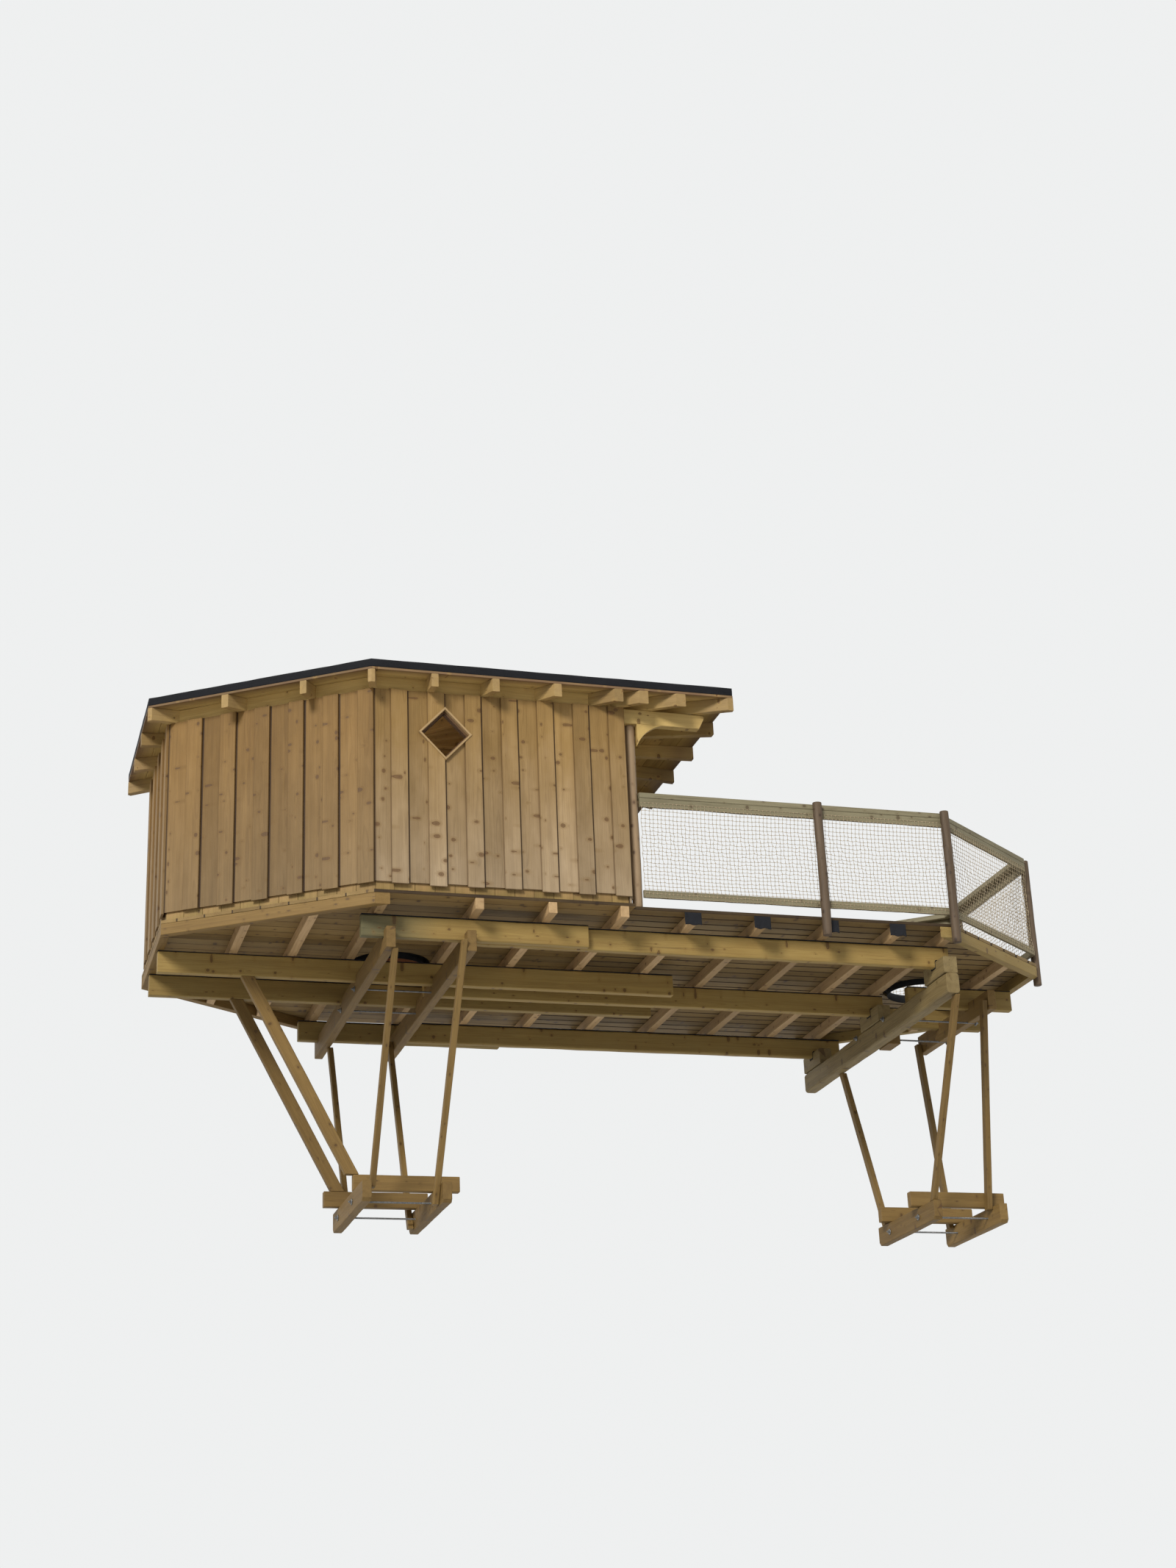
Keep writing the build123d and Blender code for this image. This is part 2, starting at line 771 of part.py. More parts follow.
back_plate_y = (mirrored_y(plate_y[1]), mirrored_y(plate_y[0]))
front_plate = top_plate(plate_y)
back_plate = top_plate(back_plate_y)
write("top_plates", [front_plate, back_plate])

# Diamond window in the front wall
window_z = floor_top + window_height
wall_depth = wall_frame + 2 * cladding_thickness


def diamond(shrink, depth_from, depth_to):
    """A diamond block through the front wall, with its sides drawn in by shrink."""
    half_width, half_height = window_half_width, window_half_height
    share = 1 - shrink * hypot(half_width, half_height) / (half_width * half_height)
    half_width, half_height = half_width * share, half_height * share
    with BuildPart() as block:
        with BuildSketch(Plane.XZ.offset(-depth_to)):
            Polygon(
                (window_x - half_width, window_z), (window_x, window_z - half_height),
                (window_x + half_width, window_z), (window_x, window_z + half_height),
                align=None,
            )
        extrude(amount=depth_to - depth_from)
    return block.part


wall_outside = wall_front - cladding_thickness
wall_inside = wall_outside + wall_depth
with BuildPart() as front_wall:
    add(wall(0, front_plate))
    add(diamond(0.0, wall_outside, wall_inside), mode=Mode.SUBTRACT)
write("front_wall", front_wall.part)

frame_proud = 8.0
with BuildPart() as window_frame:
    add(diamond(0.0, wall_outside - frame_proud, wall_inside))
    add(diamond(window_frame_width, wall_outside - frame_proud, wall_inside), mode=Mode.SUBTRACT)
write("window_frame", window_frame.part)

glass_y = wall_outside + wall_depth / 2
write("window_pane", diamond(window_frame_width, glass_y, glass_y + glass_thickness))

write("back_wall", wall(2, back_plate))
write("back_left_wall", wall(3, None))
write("left_wall", wall(4, None))
write("front_left_wall", wall(5, None))

# Wall to the deck, in three pieces round its doorway
door_y = (tree_y - doorway_width / 2, tree_y + doorway_width / 2)
door_top = floor_top + doorway_height
door_x = (cabin_length_right - wall_depth, cabin_length_right + 2 * cladding_thickness)
door_wall = wall(1, None)


def door_wall_piece(y_range, z_range):
    """The part of the wall to the deck inside this range."""
    with BuildPart() as piece:
        add(door_wall)
        for plate in (front_plate, back_plate):
            add(plate, mode=Mode.SUBTRACT)
        add(box_solid(door_x, y_range, z_range), mode=Mode.INTERSECT)
    return piece.part


full_z = (floor_top, wall_reach)
write(
    "door_wall_sides",
    [
        door_wall_piece((roof_ring[0][1], door_y[0]), full_z),
        door_wall_piece((door_y[1], roof_ring[3][1]), full_z),
    ],
)
write("door_wall_head", door_wall_piece(door_y, (door_top, wall_reach)))

# Rafters that fan out from the trunk: one at each corner of the eaves and more
# between them
rafter_start = 430.0
corner_start = 340.0
porch_rafter_start = 1150.0
front_shares = (0.17, 0.335, 0.505, 0.675)
porch_shares = (0.745, 0.85)
side_shares = (0.3, 0.65)
left_shares = (0.33, 0.67)
right_shares = (0.14, 0.28, 0.42, 0.58, 0.72, 0.86)


with BuildPart() as rafter_room:
    add(below_boards)
    add(below_rafters, mode=Mode.SUBTRACT)


def along_edge(index, share):
    """A point on one edge of the eaves."""
    (x0, y0), (x1, y1) = roof_ring[index], roof_ring[(index + 1) % 6]
    return x0 + (x1 - x0) * share, y0 + (y1 - y0) * share


def rafter(target, start):
    """A plank on edge under the boards, from its start beside the trunk to the eaves."""
    reach = hypot(target[0] - apex[0], target[1] - apex[1])
    ux, uy = (target[0] - apex[0]) / reach, (target[1] - apex[1]) / reach
    half = rafter_width / 2
    corners = [
        (apex[0] + ux * start - uy * half, apex[1] + uy * start + ux * half),
        (apex[0] + ux * start + uy * half, apex[1] + uy * start - ux * half),
        (apex[0] + ux * 2 * reach + uy * half, apex[1] + uy * 2 * reach - ux * half),
        (apex[0] + ux * 2 * reach - uy * half, apex[1] + uy * 2 * reach + ux * half),
    ]
    with BuildPart() as plank:
        add(plan_solid(corners, floor_top, eave_level + roof_rise))
        add(rafter_room.part, mode=Mode.INTERSECT)
    return plank.part


write("hip_rafters", [rafter(corner, corner_start) for corner in roof_ring])
rafters = []
for share in front_shares:
    rafters.append(rafter(along_edge(0, share), rafter_start))
    rafters.append(rafter(along_edge(2, 1 - share), rafter_start))
for share in porch_shares:
    rafters.append(rafter(along_edge(0, share), porch_rafter_start))
    rafters.append(rafter(along_edge(2, 1 - share), porch_rafter_start))
for share in side_shares:
    rafters.append(rafter(along_edge(5, 1 - share), rafter_start))
    rafters.append(rafter(along_edge(3, share), rafter_start))
for share in left_shares:
    rafters.append(rafter(along_edge(4, share), rafter_start))
for share in right_shares:
    start = porch_rafter_start if share in (right_shares[0], right_shares[-1]) else rafter_start
    rafters.append(rafter(along_edge(1, share), start))
write("rafters", rafters)

# Roof boards in one field between each two hips, a felt-covered kerb that stands
# on them along the eaves, and the felt inside it
with BuildPart() as board_shell:
    add(below_felt)
    add(below_boards, mode=Mode.SUBTRACT)
    add(roof_hole, mode=Mode.SUBTRACT)
fields = []
for index in range(6):
    corners = [apex, roof_ring[index], roof_ring[(index + 1) % 6]]
    with BuildPart() as field:
        add(board_shell.part)
        add(
            plan_solid(
                moved_ring(corners, [-mitre_gap / 2, 0.0, -mitre_gap / 2]),
                eave_level, eave_level + 2 * roof_rise,
            ),
            mode=Mode.INTERSECT,
        )
    fields.append(field.part)
write("roof_boards", fields)

kerb_bottom = eave_level + roof_board_thickness
kerb_inner = moved_ring(roof_ring, [-kerb_thickness] * 6)
kerbs = []
for index in range(6):
    with BuildPart() as kerb:
        add(plan_solid(stretch(roof_ring, kerb_inner, index), kerb_bottom, kerb_bottom + kerb_height))
        add(below_felt, mode=Mode.SUBTRACT)
    kerbs.append(kerb.part)
write("eave_kerb", kerbs)

with BuildPart() as roof_felt:
    add(below_sky)
    add(below_felt, mode=Mode.SUBTRACT)
    add(roof_hole, mode=Mode.SUBTRACT)
    add(plan_solid(kerb_inner, eave_level, eave_level + 2 * roof_rise), mode=Mode.INTERSECT)
write("roof_felt", roof_felt.part)

# Porch posts behind the rails and under the free plates, each with a curved brace
post_half = porch_post_size / 2
post_side = porch_post_x + post_half
porch_posts = []
porch_braces = []
for plate_near, side in ((plate_y[0], 1), (back_plate_y[1], -1)):
    post_middle = tree_y - side * (deck_half_depth - post_half)
    brace_middle = plate_near + side * brace_thickness / 2
    with BuildPart() as post:
        with BuildSketch(Plane.XY.offset(floor_top)):
            with Locations((porch_post_x, post_middle)):
                RectangleRounded(porch_post_size, porch_post_size, porch_post_size / 8)
        extrude(amount=plate_z[0] - floor_top)
    porch_posts.append(post.part)
    with BuildPart() as brace:
        with BuildSketch(Plane.XZ.offset(-brace_middle - brace_thickness / 2)):
            with BuildLine():
                corner = (post_side, plate_z[0])
                outer_end = (post_side + brace_reach, plate_z[0])
                lower_end = (post_side, plate_z[0] - brace_drop)
                Polyline(lower_end, corner, outer_end)
                ThreePointArc(
                    outer_end,
                    (post_side + 0.38 * brace_reach, plate_z[0] - 0.38 * brace_drop),
                    lower_end,
                )
            make_face()
        extrude(amount=brace_thickness)
    porch_braces.append(brace.part)
write("porch_posts", porch_posts)
write("porch_braces", porch_braces)

# Railing: posts outside the deck edge, rails inside it and netting between them
rail_ring = [(post_side, deck_front)] + deck_ring[1:5] + [(post_side, deck_back)]


def rail_line(outward):
    """The line of the railing along the deck edge, moved outwards."""
    return moved_ring(rail_ring, [outward] * 5 + [0.0])


cap_ring_out = rail_line(0.0)
cap_ring_in = rail_line(-rail_cap_width)
board_ring_out = rail_line(0.0)
board_ring_in = rail_line(-rail_thickness)
net_ring_out = rail_line(-rail_thickness / 2)
net_ring_in = rail_line(-rail_thickness / 2 - net_thickness)
board_top = rail_top - rail_cap_thickness
board_bottom = board_top - rail_board_height
lower_rail_bottom = floor_top + lower_rail_gap
lower_rail_top = lower_rail_bottom + lower_rail_height

top_rails = []
lower_rails = []
nets = []
for index in range(5):
    board_outline = stretch(board_ring_out, board_ring_in, index)
    net_outline = stretch(net_ring_out, net_ring_in, index)
    with BuildPart() as rail:
        add(plan_solid(stretch(cap_ring_out, cap_ring_in, index), board_top, rail_top))
        add(plan_solid(board_outline, board_bottom, board_top))
    top_rails.append(rail.part)
    lower_rails.append(plan_solid(board_outline, lower_rail_bottom, lower_rail_top))
    nets.append(plan_solid(net_outline, lower_rail_top, board_bottom))
write("top_rails", top_rails)
write("lower_rails", lower_rails)
write("rail_nets", nets)

post_bottom = floor_top - rail_post_drop
post_z = (post_bottom, rail_top)
rail_posts = []
for y0, direction in ((deck_front, -1), (deck_back, 1)):
    for x in (mid_post_x, deck_corner + corner_post_shift):
        y_far = y0 + direction * rail_post_depth
        y_range = (min(y0, y_far), max(y0, y_far))
        x_range = (x - rail_post_width / 2, x + rail_post_width / 2)
        rail_posts.append(box_solid(x_range, y_range, post_z))
for y in (deck_ring[2][1] + rail_post_width, deck_ring[3][1] - rail_post_width):
    y_range = (y - rail_post_width / 2, y + rail_post_width / 2)
    rail_posts.append(box_solid((deck_end, deck_end + rail_post_depth), y_range, post_z))
write("rail_posts", rail_posts)
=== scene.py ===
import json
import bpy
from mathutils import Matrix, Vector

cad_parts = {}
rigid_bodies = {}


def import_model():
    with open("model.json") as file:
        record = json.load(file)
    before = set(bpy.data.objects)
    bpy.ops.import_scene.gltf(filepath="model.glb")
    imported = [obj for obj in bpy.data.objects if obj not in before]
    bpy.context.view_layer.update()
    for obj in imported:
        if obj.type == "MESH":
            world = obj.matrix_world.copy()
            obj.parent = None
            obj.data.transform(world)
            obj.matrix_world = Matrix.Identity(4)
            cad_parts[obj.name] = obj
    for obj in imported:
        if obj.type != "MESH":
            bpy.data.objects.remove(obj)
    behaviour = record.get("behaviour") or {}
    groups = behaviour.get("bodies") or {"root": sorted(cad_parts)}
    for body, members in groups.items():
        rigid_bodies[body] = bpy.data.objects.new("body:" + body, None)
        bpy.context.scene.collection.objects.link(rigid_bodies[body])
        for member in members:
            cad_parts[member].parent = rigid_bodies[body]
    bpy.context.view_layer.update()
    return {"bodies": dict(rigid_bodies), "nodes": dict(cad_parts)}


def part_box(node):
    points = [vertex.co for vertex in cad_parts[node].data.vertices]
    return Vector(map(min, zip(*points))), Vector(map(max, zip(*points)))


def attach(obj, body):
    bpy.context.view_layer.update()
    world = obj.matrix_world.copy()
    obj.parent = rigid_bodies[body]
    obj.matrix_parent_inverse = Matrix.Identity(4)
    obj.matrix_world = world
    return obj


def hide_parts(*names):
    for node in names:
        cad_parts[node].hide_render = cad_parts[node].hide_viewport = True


bl_info = {
    "name": "Tree House Cabin",
    "version": (1, 0, 0),
    "blender": (4, 5, 0),
    "location": "View3D > Sidebar > Tree House",
    "description": "Dresses the frame of a tree house with boards, timbers, felt, rubber, steel and netting",
    "category": "Add Mesh",
}

import bpy
import bmesh
import numpy as np
from mathutils import Matrix, Vector

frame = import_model()
BODY = sorted(frame["bodies"])[0]
UP = np.array([0.0, 0.0, 1.0])
TURN = 2 * np.pi

# Levels and outlines of the frame, in metres
FLOOR = 2.086
EAVE = 3.979
ROOF_RISE = 0.320
RAFTER_DEPTH = 0.120
RAFTER_WIDTH = 0.060
BOARD = 0.022
TRUNK_Y = 0.3
TRUNK_HOLE = 0.355
APEX = np.array([0.0, TRUNK_Y])
CABIN = np.array([(-0.47, -1.55), (1.73, -1.55), (1.73, 2.15), (-0.47, 2.15), (-2.06, 1.07), (-2.06, -0.47)])
DECK = np.array([(1.755, -1.5), (4.68, -1.5), (5.96, -0.54), (5.96, 1.14), (4.68, 2.1), (1.755, 2.1)])
CLAD_BOTTOM = 2.141
CLAD_PITCH = 0.319
CLAD_WIDTH = 0.150
CLAD_STEP = 0.017
LAP = 0.045
LINING_WIDTH = 0.17
SEAM = 0.0006
FADE_HEIGHT = 1.75
CORNER_POST = 0.021
PLATE_FOOT = 3.760
WALL_FRAME = 0.050
WINDOW = (0.137, 3.513, 0.230, 0.243)
DOOR = (-0.09, 0.69, 3.776)
TRUNKS = (0.025, 5.150)
RAIL_START = 1.854
RAIL_TOP = 3.129
CAP_THICK = 0.048
CAP_WIDTH = 0.090
RAIL_BOARD = 0.088
RAIL_THICK = 0.028
LOWER_RAIL = (2.169, 2.239)
RAIL_LINE = np.concatenate([[(RAIL_START, -1.5)], DECK[1:5], [(RAIL_START, 2.1)]])
FLOOR_THICK = 0.028
EAVE_OUT = 0.198
PORCH_OUT = 0.950

# How the timbers are drawn
END_BEVEL = 0.0025
STATION_STEP = 0.16
GRAIN_RUN = 40.0
CORNER_SLACK = 0.002


def unit(vector):
    """The vector at length one."""
    return vector / np.linalg.norm(vector)


def side_of(ring, index):
    """One side of a ring or line: its start, its direction, the direction to its outer side and its length."""
    start, end = ring[index], ring[(index + 1) % len(ring)]
    along = unit(end - start)
    return start, along, np.array([along[1], -along[0]]), np.linalg.norm(end - start)


def mitre(line, k):
    """Tangent of half the turn between the two sides that meet at a corner."""
    before, after = line[k] - line[k - 1], line[(k + 1) % len(line)] - line[k]
    return np.tan(np.arccos(before @ after / np.linalg.norm(before) / np.linalg.norm(after)) / 2)


def moved(ring, outwards):
    """The ring with each edge moved outwards: corners where neighbouring edges meet."""
    corners = []
    for i in range(len(ring)):
        p, d, away_p, _ = side_of(ring, i - 1)
        q, e, away_q, _ = side_of(ring, i)
        p, q = p + outwards[i - 1] * away_p, q + outwards[i] * away_q
        s = np.linalg.solve(np.array([d, -e]).T, q - p)[0]
        corners.append(p + s * d)
    return np.array(corners)


ROOF = moved(CABIN, [EAVE_OUT, PORCH_OUT] + [EAVE_OUT] * 4)
ROOF_NORMALS = np.array([side_of(ROOF, k)[2] for k in range(6)])
ROOF_REACH = np.einsum("ij,ij->i", ROOF - APEX, ROOF_NORMALS)


def roof_share(x, y):
    """How far out on the roof a place is: 0 at the apex and 1 at the eave."""
    out = (x - APEX[0])[..., None] * ROOF_NORMALS[:, 0] + (y - APEX[1])[..., None] * ROOF_NORMALS[:, 1]
    return (out / ROOF_REACH).max(-1)


def roof_level(x, y, eave=EAVE):
    """Height of the roof surface: eave + rise * (1 - share)."""
    return eave + ROOF_RISE * (1.0 - roof_share(np.asarray(x, float), np.asarray(y, float)))


def raised(flat, z):
    """Places on plan lifted to their heights."""
    return np.concatenate([flat, z[..., None]], -1)


def clear_of_trunk(flat, radius):
    """Places on plan, those inside a circle round the apex moved out to it."""
    away = np.linalg.norm(flat - APEX, axis=-1)
    return APEX + (flat - APEX) * np.maximum(1.0, radius / away)[..., None]


def phase(rng):
    """A random start for a wave."""
    return rng.uniform(0, 6.28)


def pith_depth(rng, low, high):
    """How far the pith lies in front of a board or behind it."""
    return rng.choice([-1, 1]) * rng.uniform(low, high)


def ripple(s, rng, waves=(0.35, 0.9, 2.3)):
    """Slow irregularity between 0 and 1: the mean of sines of three lengths, each with its own start."""
    total = np.zeros_like(s)
    for length in waves:
        total = total + np.sin(TURN * s / (length * rng.uniform(0.8, 1.25)) + phase(rng))
    return 0.5 + total / (2 * len(waves))


def points_of(mesh):
    """The points of a mesh."""
    points = np.zeros(len(mesh.vertices) * 3)
    mesh.vertices.foreach_get("co", points)
    return points.reshape(-1, 3)


def write_layers(mesh, grain, **shades):
    """Gives each point of a mesh its grain coordinate and the numbers that the finishes read."""
    layer = mesh.attributes.new("grain", "FLOAT_VECTOR", "POINT")
    layer.data.foreach_set("vector", grain.astype(np.float32).ravel())
    for label, values in shades.items():
        layer = mesh.attributes.new(label, "FLOAT", "POINT")
        layer.data.foreach_set("value", values.astype(np.float32))


def show(name, data):
    """A new object in the scene."""
    made = bpy.data.objects.new(name, data)
    bpy.context.scene.collection.objects.link(made)
    return made


def dressed(name, mesh, material, replaces):
    """A piece with one finish that stands for nodes of the frame."""
    piece = show(name, mesh)
    mesh.materials.append(material)
    if replaces:
        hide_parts(*replaces)
    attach(piece, BODY)
    return piece


def refinish(node, material):
    """Gives a node's own mesh a finish."""
    mesh = frame["nodes"][node].data
    mesh.materials.clear()
    mesh.materials.append(material)


def band(first, after):
    """Faces between rows of points that close round on themselves."""
    return np.stack([first, np.roll(first, -1, -1), np.roll(after, -1, -1), after], -1).reshape(-1, 4)


class Form:
    """Gathers closed grids of points into one mesh with a grain coordinate, a tone, a fade and painted shade."""

    def __init__(self):
        self.points, self.grain, self.shades = [], [], {"tone": [], "fade": [], "grime": []}
        self.loops, self.sizes, self.smooth, self.count = [], [], [], 0

    def add(self, points, faces, grain, tone, fade=0.0, smooth=False, grime=0.0):
        points = np.asarray(points, float).reshape(-1, 3)
        self.points.append(points)
        self.grain.append(np.asarray(grain, float).reshape(-1, 3))
        for values, shade in zip(self.shades.values(), (tone, fade, grime)):
            values.append(np.broadcast_to(np.asarray(shade, float).reshape(-1), (len(points),)))
        for group in faces:
            self.loops.append((group + self.count).ravel())
            self.sizes.append(np.full(len(group), group.shape[1]))
            self.smooth.append(np.full(len(group), smooth))
        self.count += len(points)

    def tube(self, points, grain, tone, fade=0.0, ring=False, caps="fan", smooth=False, grime=0.0):
        """A grid with rows along a piece and columns round it, closed round, and at its ends or into a ring."""
        rows, columns = points.shape[:2]
        index = np.arange(rows * columns).reshape(rows, columns)
        faces = [band(index, np.roll(index, -1, 0)) if ring else band(index[:-1], index[1:])]
        if not ring and caps == "fan":
            faces += [index[:1, ::-1], index[-1:]]
        if not ring and caps == "strip":
            low = np.arange(columns // 2)
            high = columns - 1 - low
            for row, turned_over in ((0, True), (rows - 1, False)):
                strip = np.stack([index[row, low[:-1]], index[row, low[1:]],
                                  index[row, high[1:]], index[row, high[:-1]]], -1)
                faces.append(strip[:, ::-1] if turned_over else strip)
        self.add(points, faces, grain, tone, fade, smooth, grime)

    def make(self, name, slot, material, replaces=()):
        mesh = bpy.data.meshes.new(name)
        points = np.concatenate(self.points)
        loops, sizes = np.concatenate(self.loops), np.concatenate(self.sizes)
        starts = np.concatenate([[0], np.cumsum(sizes)[:-1]])
        mesh.vertices.add(len(points))
        mesh.vertices.foreach_set("co", points.astype(np.float32).ravel())
        mesh.loops.add(len(loops))
        mesh.loops.foreach_set("vertex_index", loops.astype(np.int32))
        mesh.polygons.add(len(sizes))
        mesh.polygons.foreach_set("loop_start", starts.astype(np.int32))
        mesh.polygons.foreach_set("loop_total", sizes.astype(np.int32))
        mesh.polygons.foreach_set("use_smooth", np.concatenate(self.smooth))
        mesh.update(calc_edges=True)
        write_layers(mesh, np.concatenate(self.grain),
                     **{label: np.concatenate(values) for label, values in self.shades.items()})
        mesh.validate()
        dressed(name, mesh, material, replaces)


def rounded(low, high, width, radius, inset):
    """A rounded rectangle for each row: four corners of three points on an arc, counterclockwise."""
    angles = np.radians(np.array([0, 45, 90, 90, 135, 180, 180, 225, 270, 270, 315, 360]))
    sign_u = np.array([1, 1, 1, -1, -1, -1, -1, -1, -1, 1, 1, 1])
    sign_v = np.array([1, 1, 1, 1, 1, 1, -1, -1, -1, -1, -1, -1])
    r = np.minimum(radius, 0.45 * np.minimum(width, (high - low).min()))
    half = width / 2 - r
    u = sign_u * half + (r - inset[:, None]) * np.cos(angles)
    middle = (low + high) / 2
    tall = (high - low) / 2
    v = middle[:, None] + sign_v * (tall - r.squeeze(-1))[:, None] + (r - inset[:, None]) * np.sin(angles)
    return u, v, sign_u, sign_v


def beam(form, start, end, up, width, low, high, seed, stations=None, radius=0.005, wane=0.0, wave=0.0015,
         cuts=(None, None), fade=0.0, tone=None):
    """A sawn or hewn timber. Its point is start + s * along + u * side + v * top, where u and v go round a
    rounded rectangle whose sides are drawn in by a slow ripple of s. Stations change its lower and upper
    side along its length, and a cut tilts an end to a plane."""
    rng = np.random.default_rng(seed)
    start, end, up = (np.array(p, float) for p in (start, end, up))
    length = np.linalg.norm(end - start)
    along = (end - start) / length
    side = unit(np.cross(up, along))
    top = np.cross(along, side)
    knots = stations or [(0.0, low, high), (length, low, high)]
    s, lo, hi, inset = [0.0], [knots[0][1]], [knots[0][2]], [END_BEVEL]
    for (s0, a0, b0), (s1, a1, b1) in zip(knots[:-1], knots[1:]):
        count = max(1, int(round((s1 - s0) / STATION_STEP)))
        share = np.linspace(0, 1, count + 1)
        begin = END_BEVEL if s0 == 0.0 else 0.0
        finish = END_BEVEL if s1 >= length - 1e-6 else 0.0
        s += list(s0 + begin + (s1 - s0 - begin - finish) * share)
        lo += list(a0 + (a1 - a0) * share)
        hi += list(b0 + (b1 - b0) * share)
        inset += [0.0] * (count + 1)
    s, lo, hi, inset = (np.array(v + [w]) for v, w in
                        ((s, length), (lo, knots[-1][1]), (hi, knots[-1][2]), (inset, END_BEVEL)))
    corner = radius + wane * ripple(s, rng, (0.5, 1.1, 2.6))[:, None]
    u, v, sign_u, sign_v = rounded(lo, hi, width, corner, inset)
    for sign in (-1, 1):
        u = u - np.where(sign_u == sign, sign * wave * ripple(s, rng)[:, None], 0.0)
        v = v - np.where(sign_v == sign, sign * wave * ripple(s, rng)[:, None], 0.0)
    near, far = (tip if cut is None else tip - (u[0] * (side @ cut) + v[0] * (top @ cut)) / (along @ cut)
                 for tip, cut in zip((np.zeros(12), np.full(12, length)), cuts))
    distance = near + (s / length)[:, None] * (far - near)
    points = start + distance[..., None] * along + u[..., None] * side + v[..., None] * top
    pith = rng.uniform(-0.3, 0.3, 2) * (width, high - low)
    grain = np.stack([distance + rng.uniform(0, GRAIN_RUN), u - pith[0], v - (low + high) / 2 - pith[1]], -1)
    shade = rng.uniform(0, 1) if tone is None else tone
    fade = np.atleast_1d(fade)
    spread = np.interp(s / length, np.linspace(0, 1, len(fade)), fade)
    form.tube(points, grain, shade, spread[:, None] + 0 * u)


def board(form, origin, along, across, u_range, v_range, starts, ends, seed, splits=(), lean=(0.0, 0.0),
          bevel=0.002, pace=0.3, wave=0.0, fade=None, tone=None, heart=None, grime=None, edges=0.0):
    """A plank between two ends that may change across it. Its point is origin + s * along + u * across
    + v * face, with s between starts(u, v) and ends(u, v), and u and v go round the section."""
    rng = np.random.default_rng(seed)
    origin, along, across = (np.array(p, float) for p in (origin, along, across))
    face = np.cross(along, across)
    u0, u1 = u_range
    v0, v1 = v_range
    inner = sorted({u0 + bevel, u1 - bevel, *[u for u in splits if u0 + bevel < u < u1 - bevel],
                    *((u0 + bevel + 0.002, u1 - bevel - 0.002) if edges else ()),
                    *np.linspace(u0 + bevel, u1 - bevel, 4)[1:-1]})
    inner = np.array(inner)
    u = np.concatenate([[u0], inner, [u1], [u1], inner[::-1], [u0]])
    v = np.concatenate([[v0 + bevel], np.full(len(inner), v0), [v0 + bevel],
                        [v1 - bevel], np.full(len(inner), v1), [v1 - bevel]])
    # Painted shade: the board's sides and bevels darkened by edges, or a joint's painted shadow across it.
    shade_dark = np.where((u0 + bevel + 0.001 < u) & (u < u1 - bevel - 0.001), 0.0, edges) if grime is None else grime(u)
    share = (u - u0) / (u1 - u0)
    u = u - lean[0] * v * (1 - share) + lean[1] * v * share
    near, far = starts(u, v), ends(u, v)
    rows = max(2, int(round((far - near).max() / pace)) + 1)
    s = np.linspace(0, 1, rows)[:, None]
    distance = near + s * (far - near)
    mid_u = (u0 + u1) / 2
    line = (near + far).mean() / 2 + (s[:, 0] - 0.5) * (far - near).max()
    edge = np.where(u > mid_u, -ripple(line, rng)[:, None], ripple(line, rng)[:, None]) * wave
    weight = np.abs(u - mid_u) * 2 / (u1 - u0)
    full_u = u + edge * weight ** 4
    points = origin + distance[..., None] * along + full_u[..., None] * across + np.broadcast_to(
        v, distance.shape)[..., None] * face
    pith = heart or (rng.uniform(-0.5, 0.5) * (u1 - u0), pith_depth(rng, 0.03, 0.08))
    grain = np.stack([distance + rng.uniform(0, GRAIN_RUN), full_u - mid_u - pith[0],
                      np.broadcast_to(v - (v0 + v1) / 2 - pith[1], distance.shape)], -1)
    shade = rng.uniform(0, 1) if tone is None else tone
    form.tube(points, grain, shade, 0.0 if fade is None else fade(points), caps="strip",
              grime=np.broadcast_to(shade_dark, distance.shape))


def solids(node):
    """The separate solids of a node, with doubled points merged, each as its points and triangles."""
    mesh = frame["nodes"][node].data
    points = points_of(mesh)
    corners = np.zeros(len(mesh.loops), int)
    mesh.loops.foreach_get("vertex_index", corners)
    _, first, merged = np.unique(np.round(points * 1e4).astype(int), axis=0, return_index=True,
                                 return_inverse=True)
    points, triangles = points[first], merged.ravel()[corners].reshape(-1, 3)
    group = np.arange(len(points))
    while True:
        least = group[triangles].min(1)
        spread = group.copy()
        for k in range(3):
            np.minimum.at(spread, triangles[:, k], least)
        spread = spread[spread]
        if (spread == group).all():
            break
        group = spread
    parts = []
    for label in np.unique(group[triangles[:, 0]]):
        mine = triangles[group[triangles[:, 0]] == label]
        used, local = np.unique(mine, return_inverse=True)
        parts.append((points[used], local.reshape(-1, 3)))
    return sorted(parts, key=lambda part: tuple(np.round(part[0].mean(0), 3)))


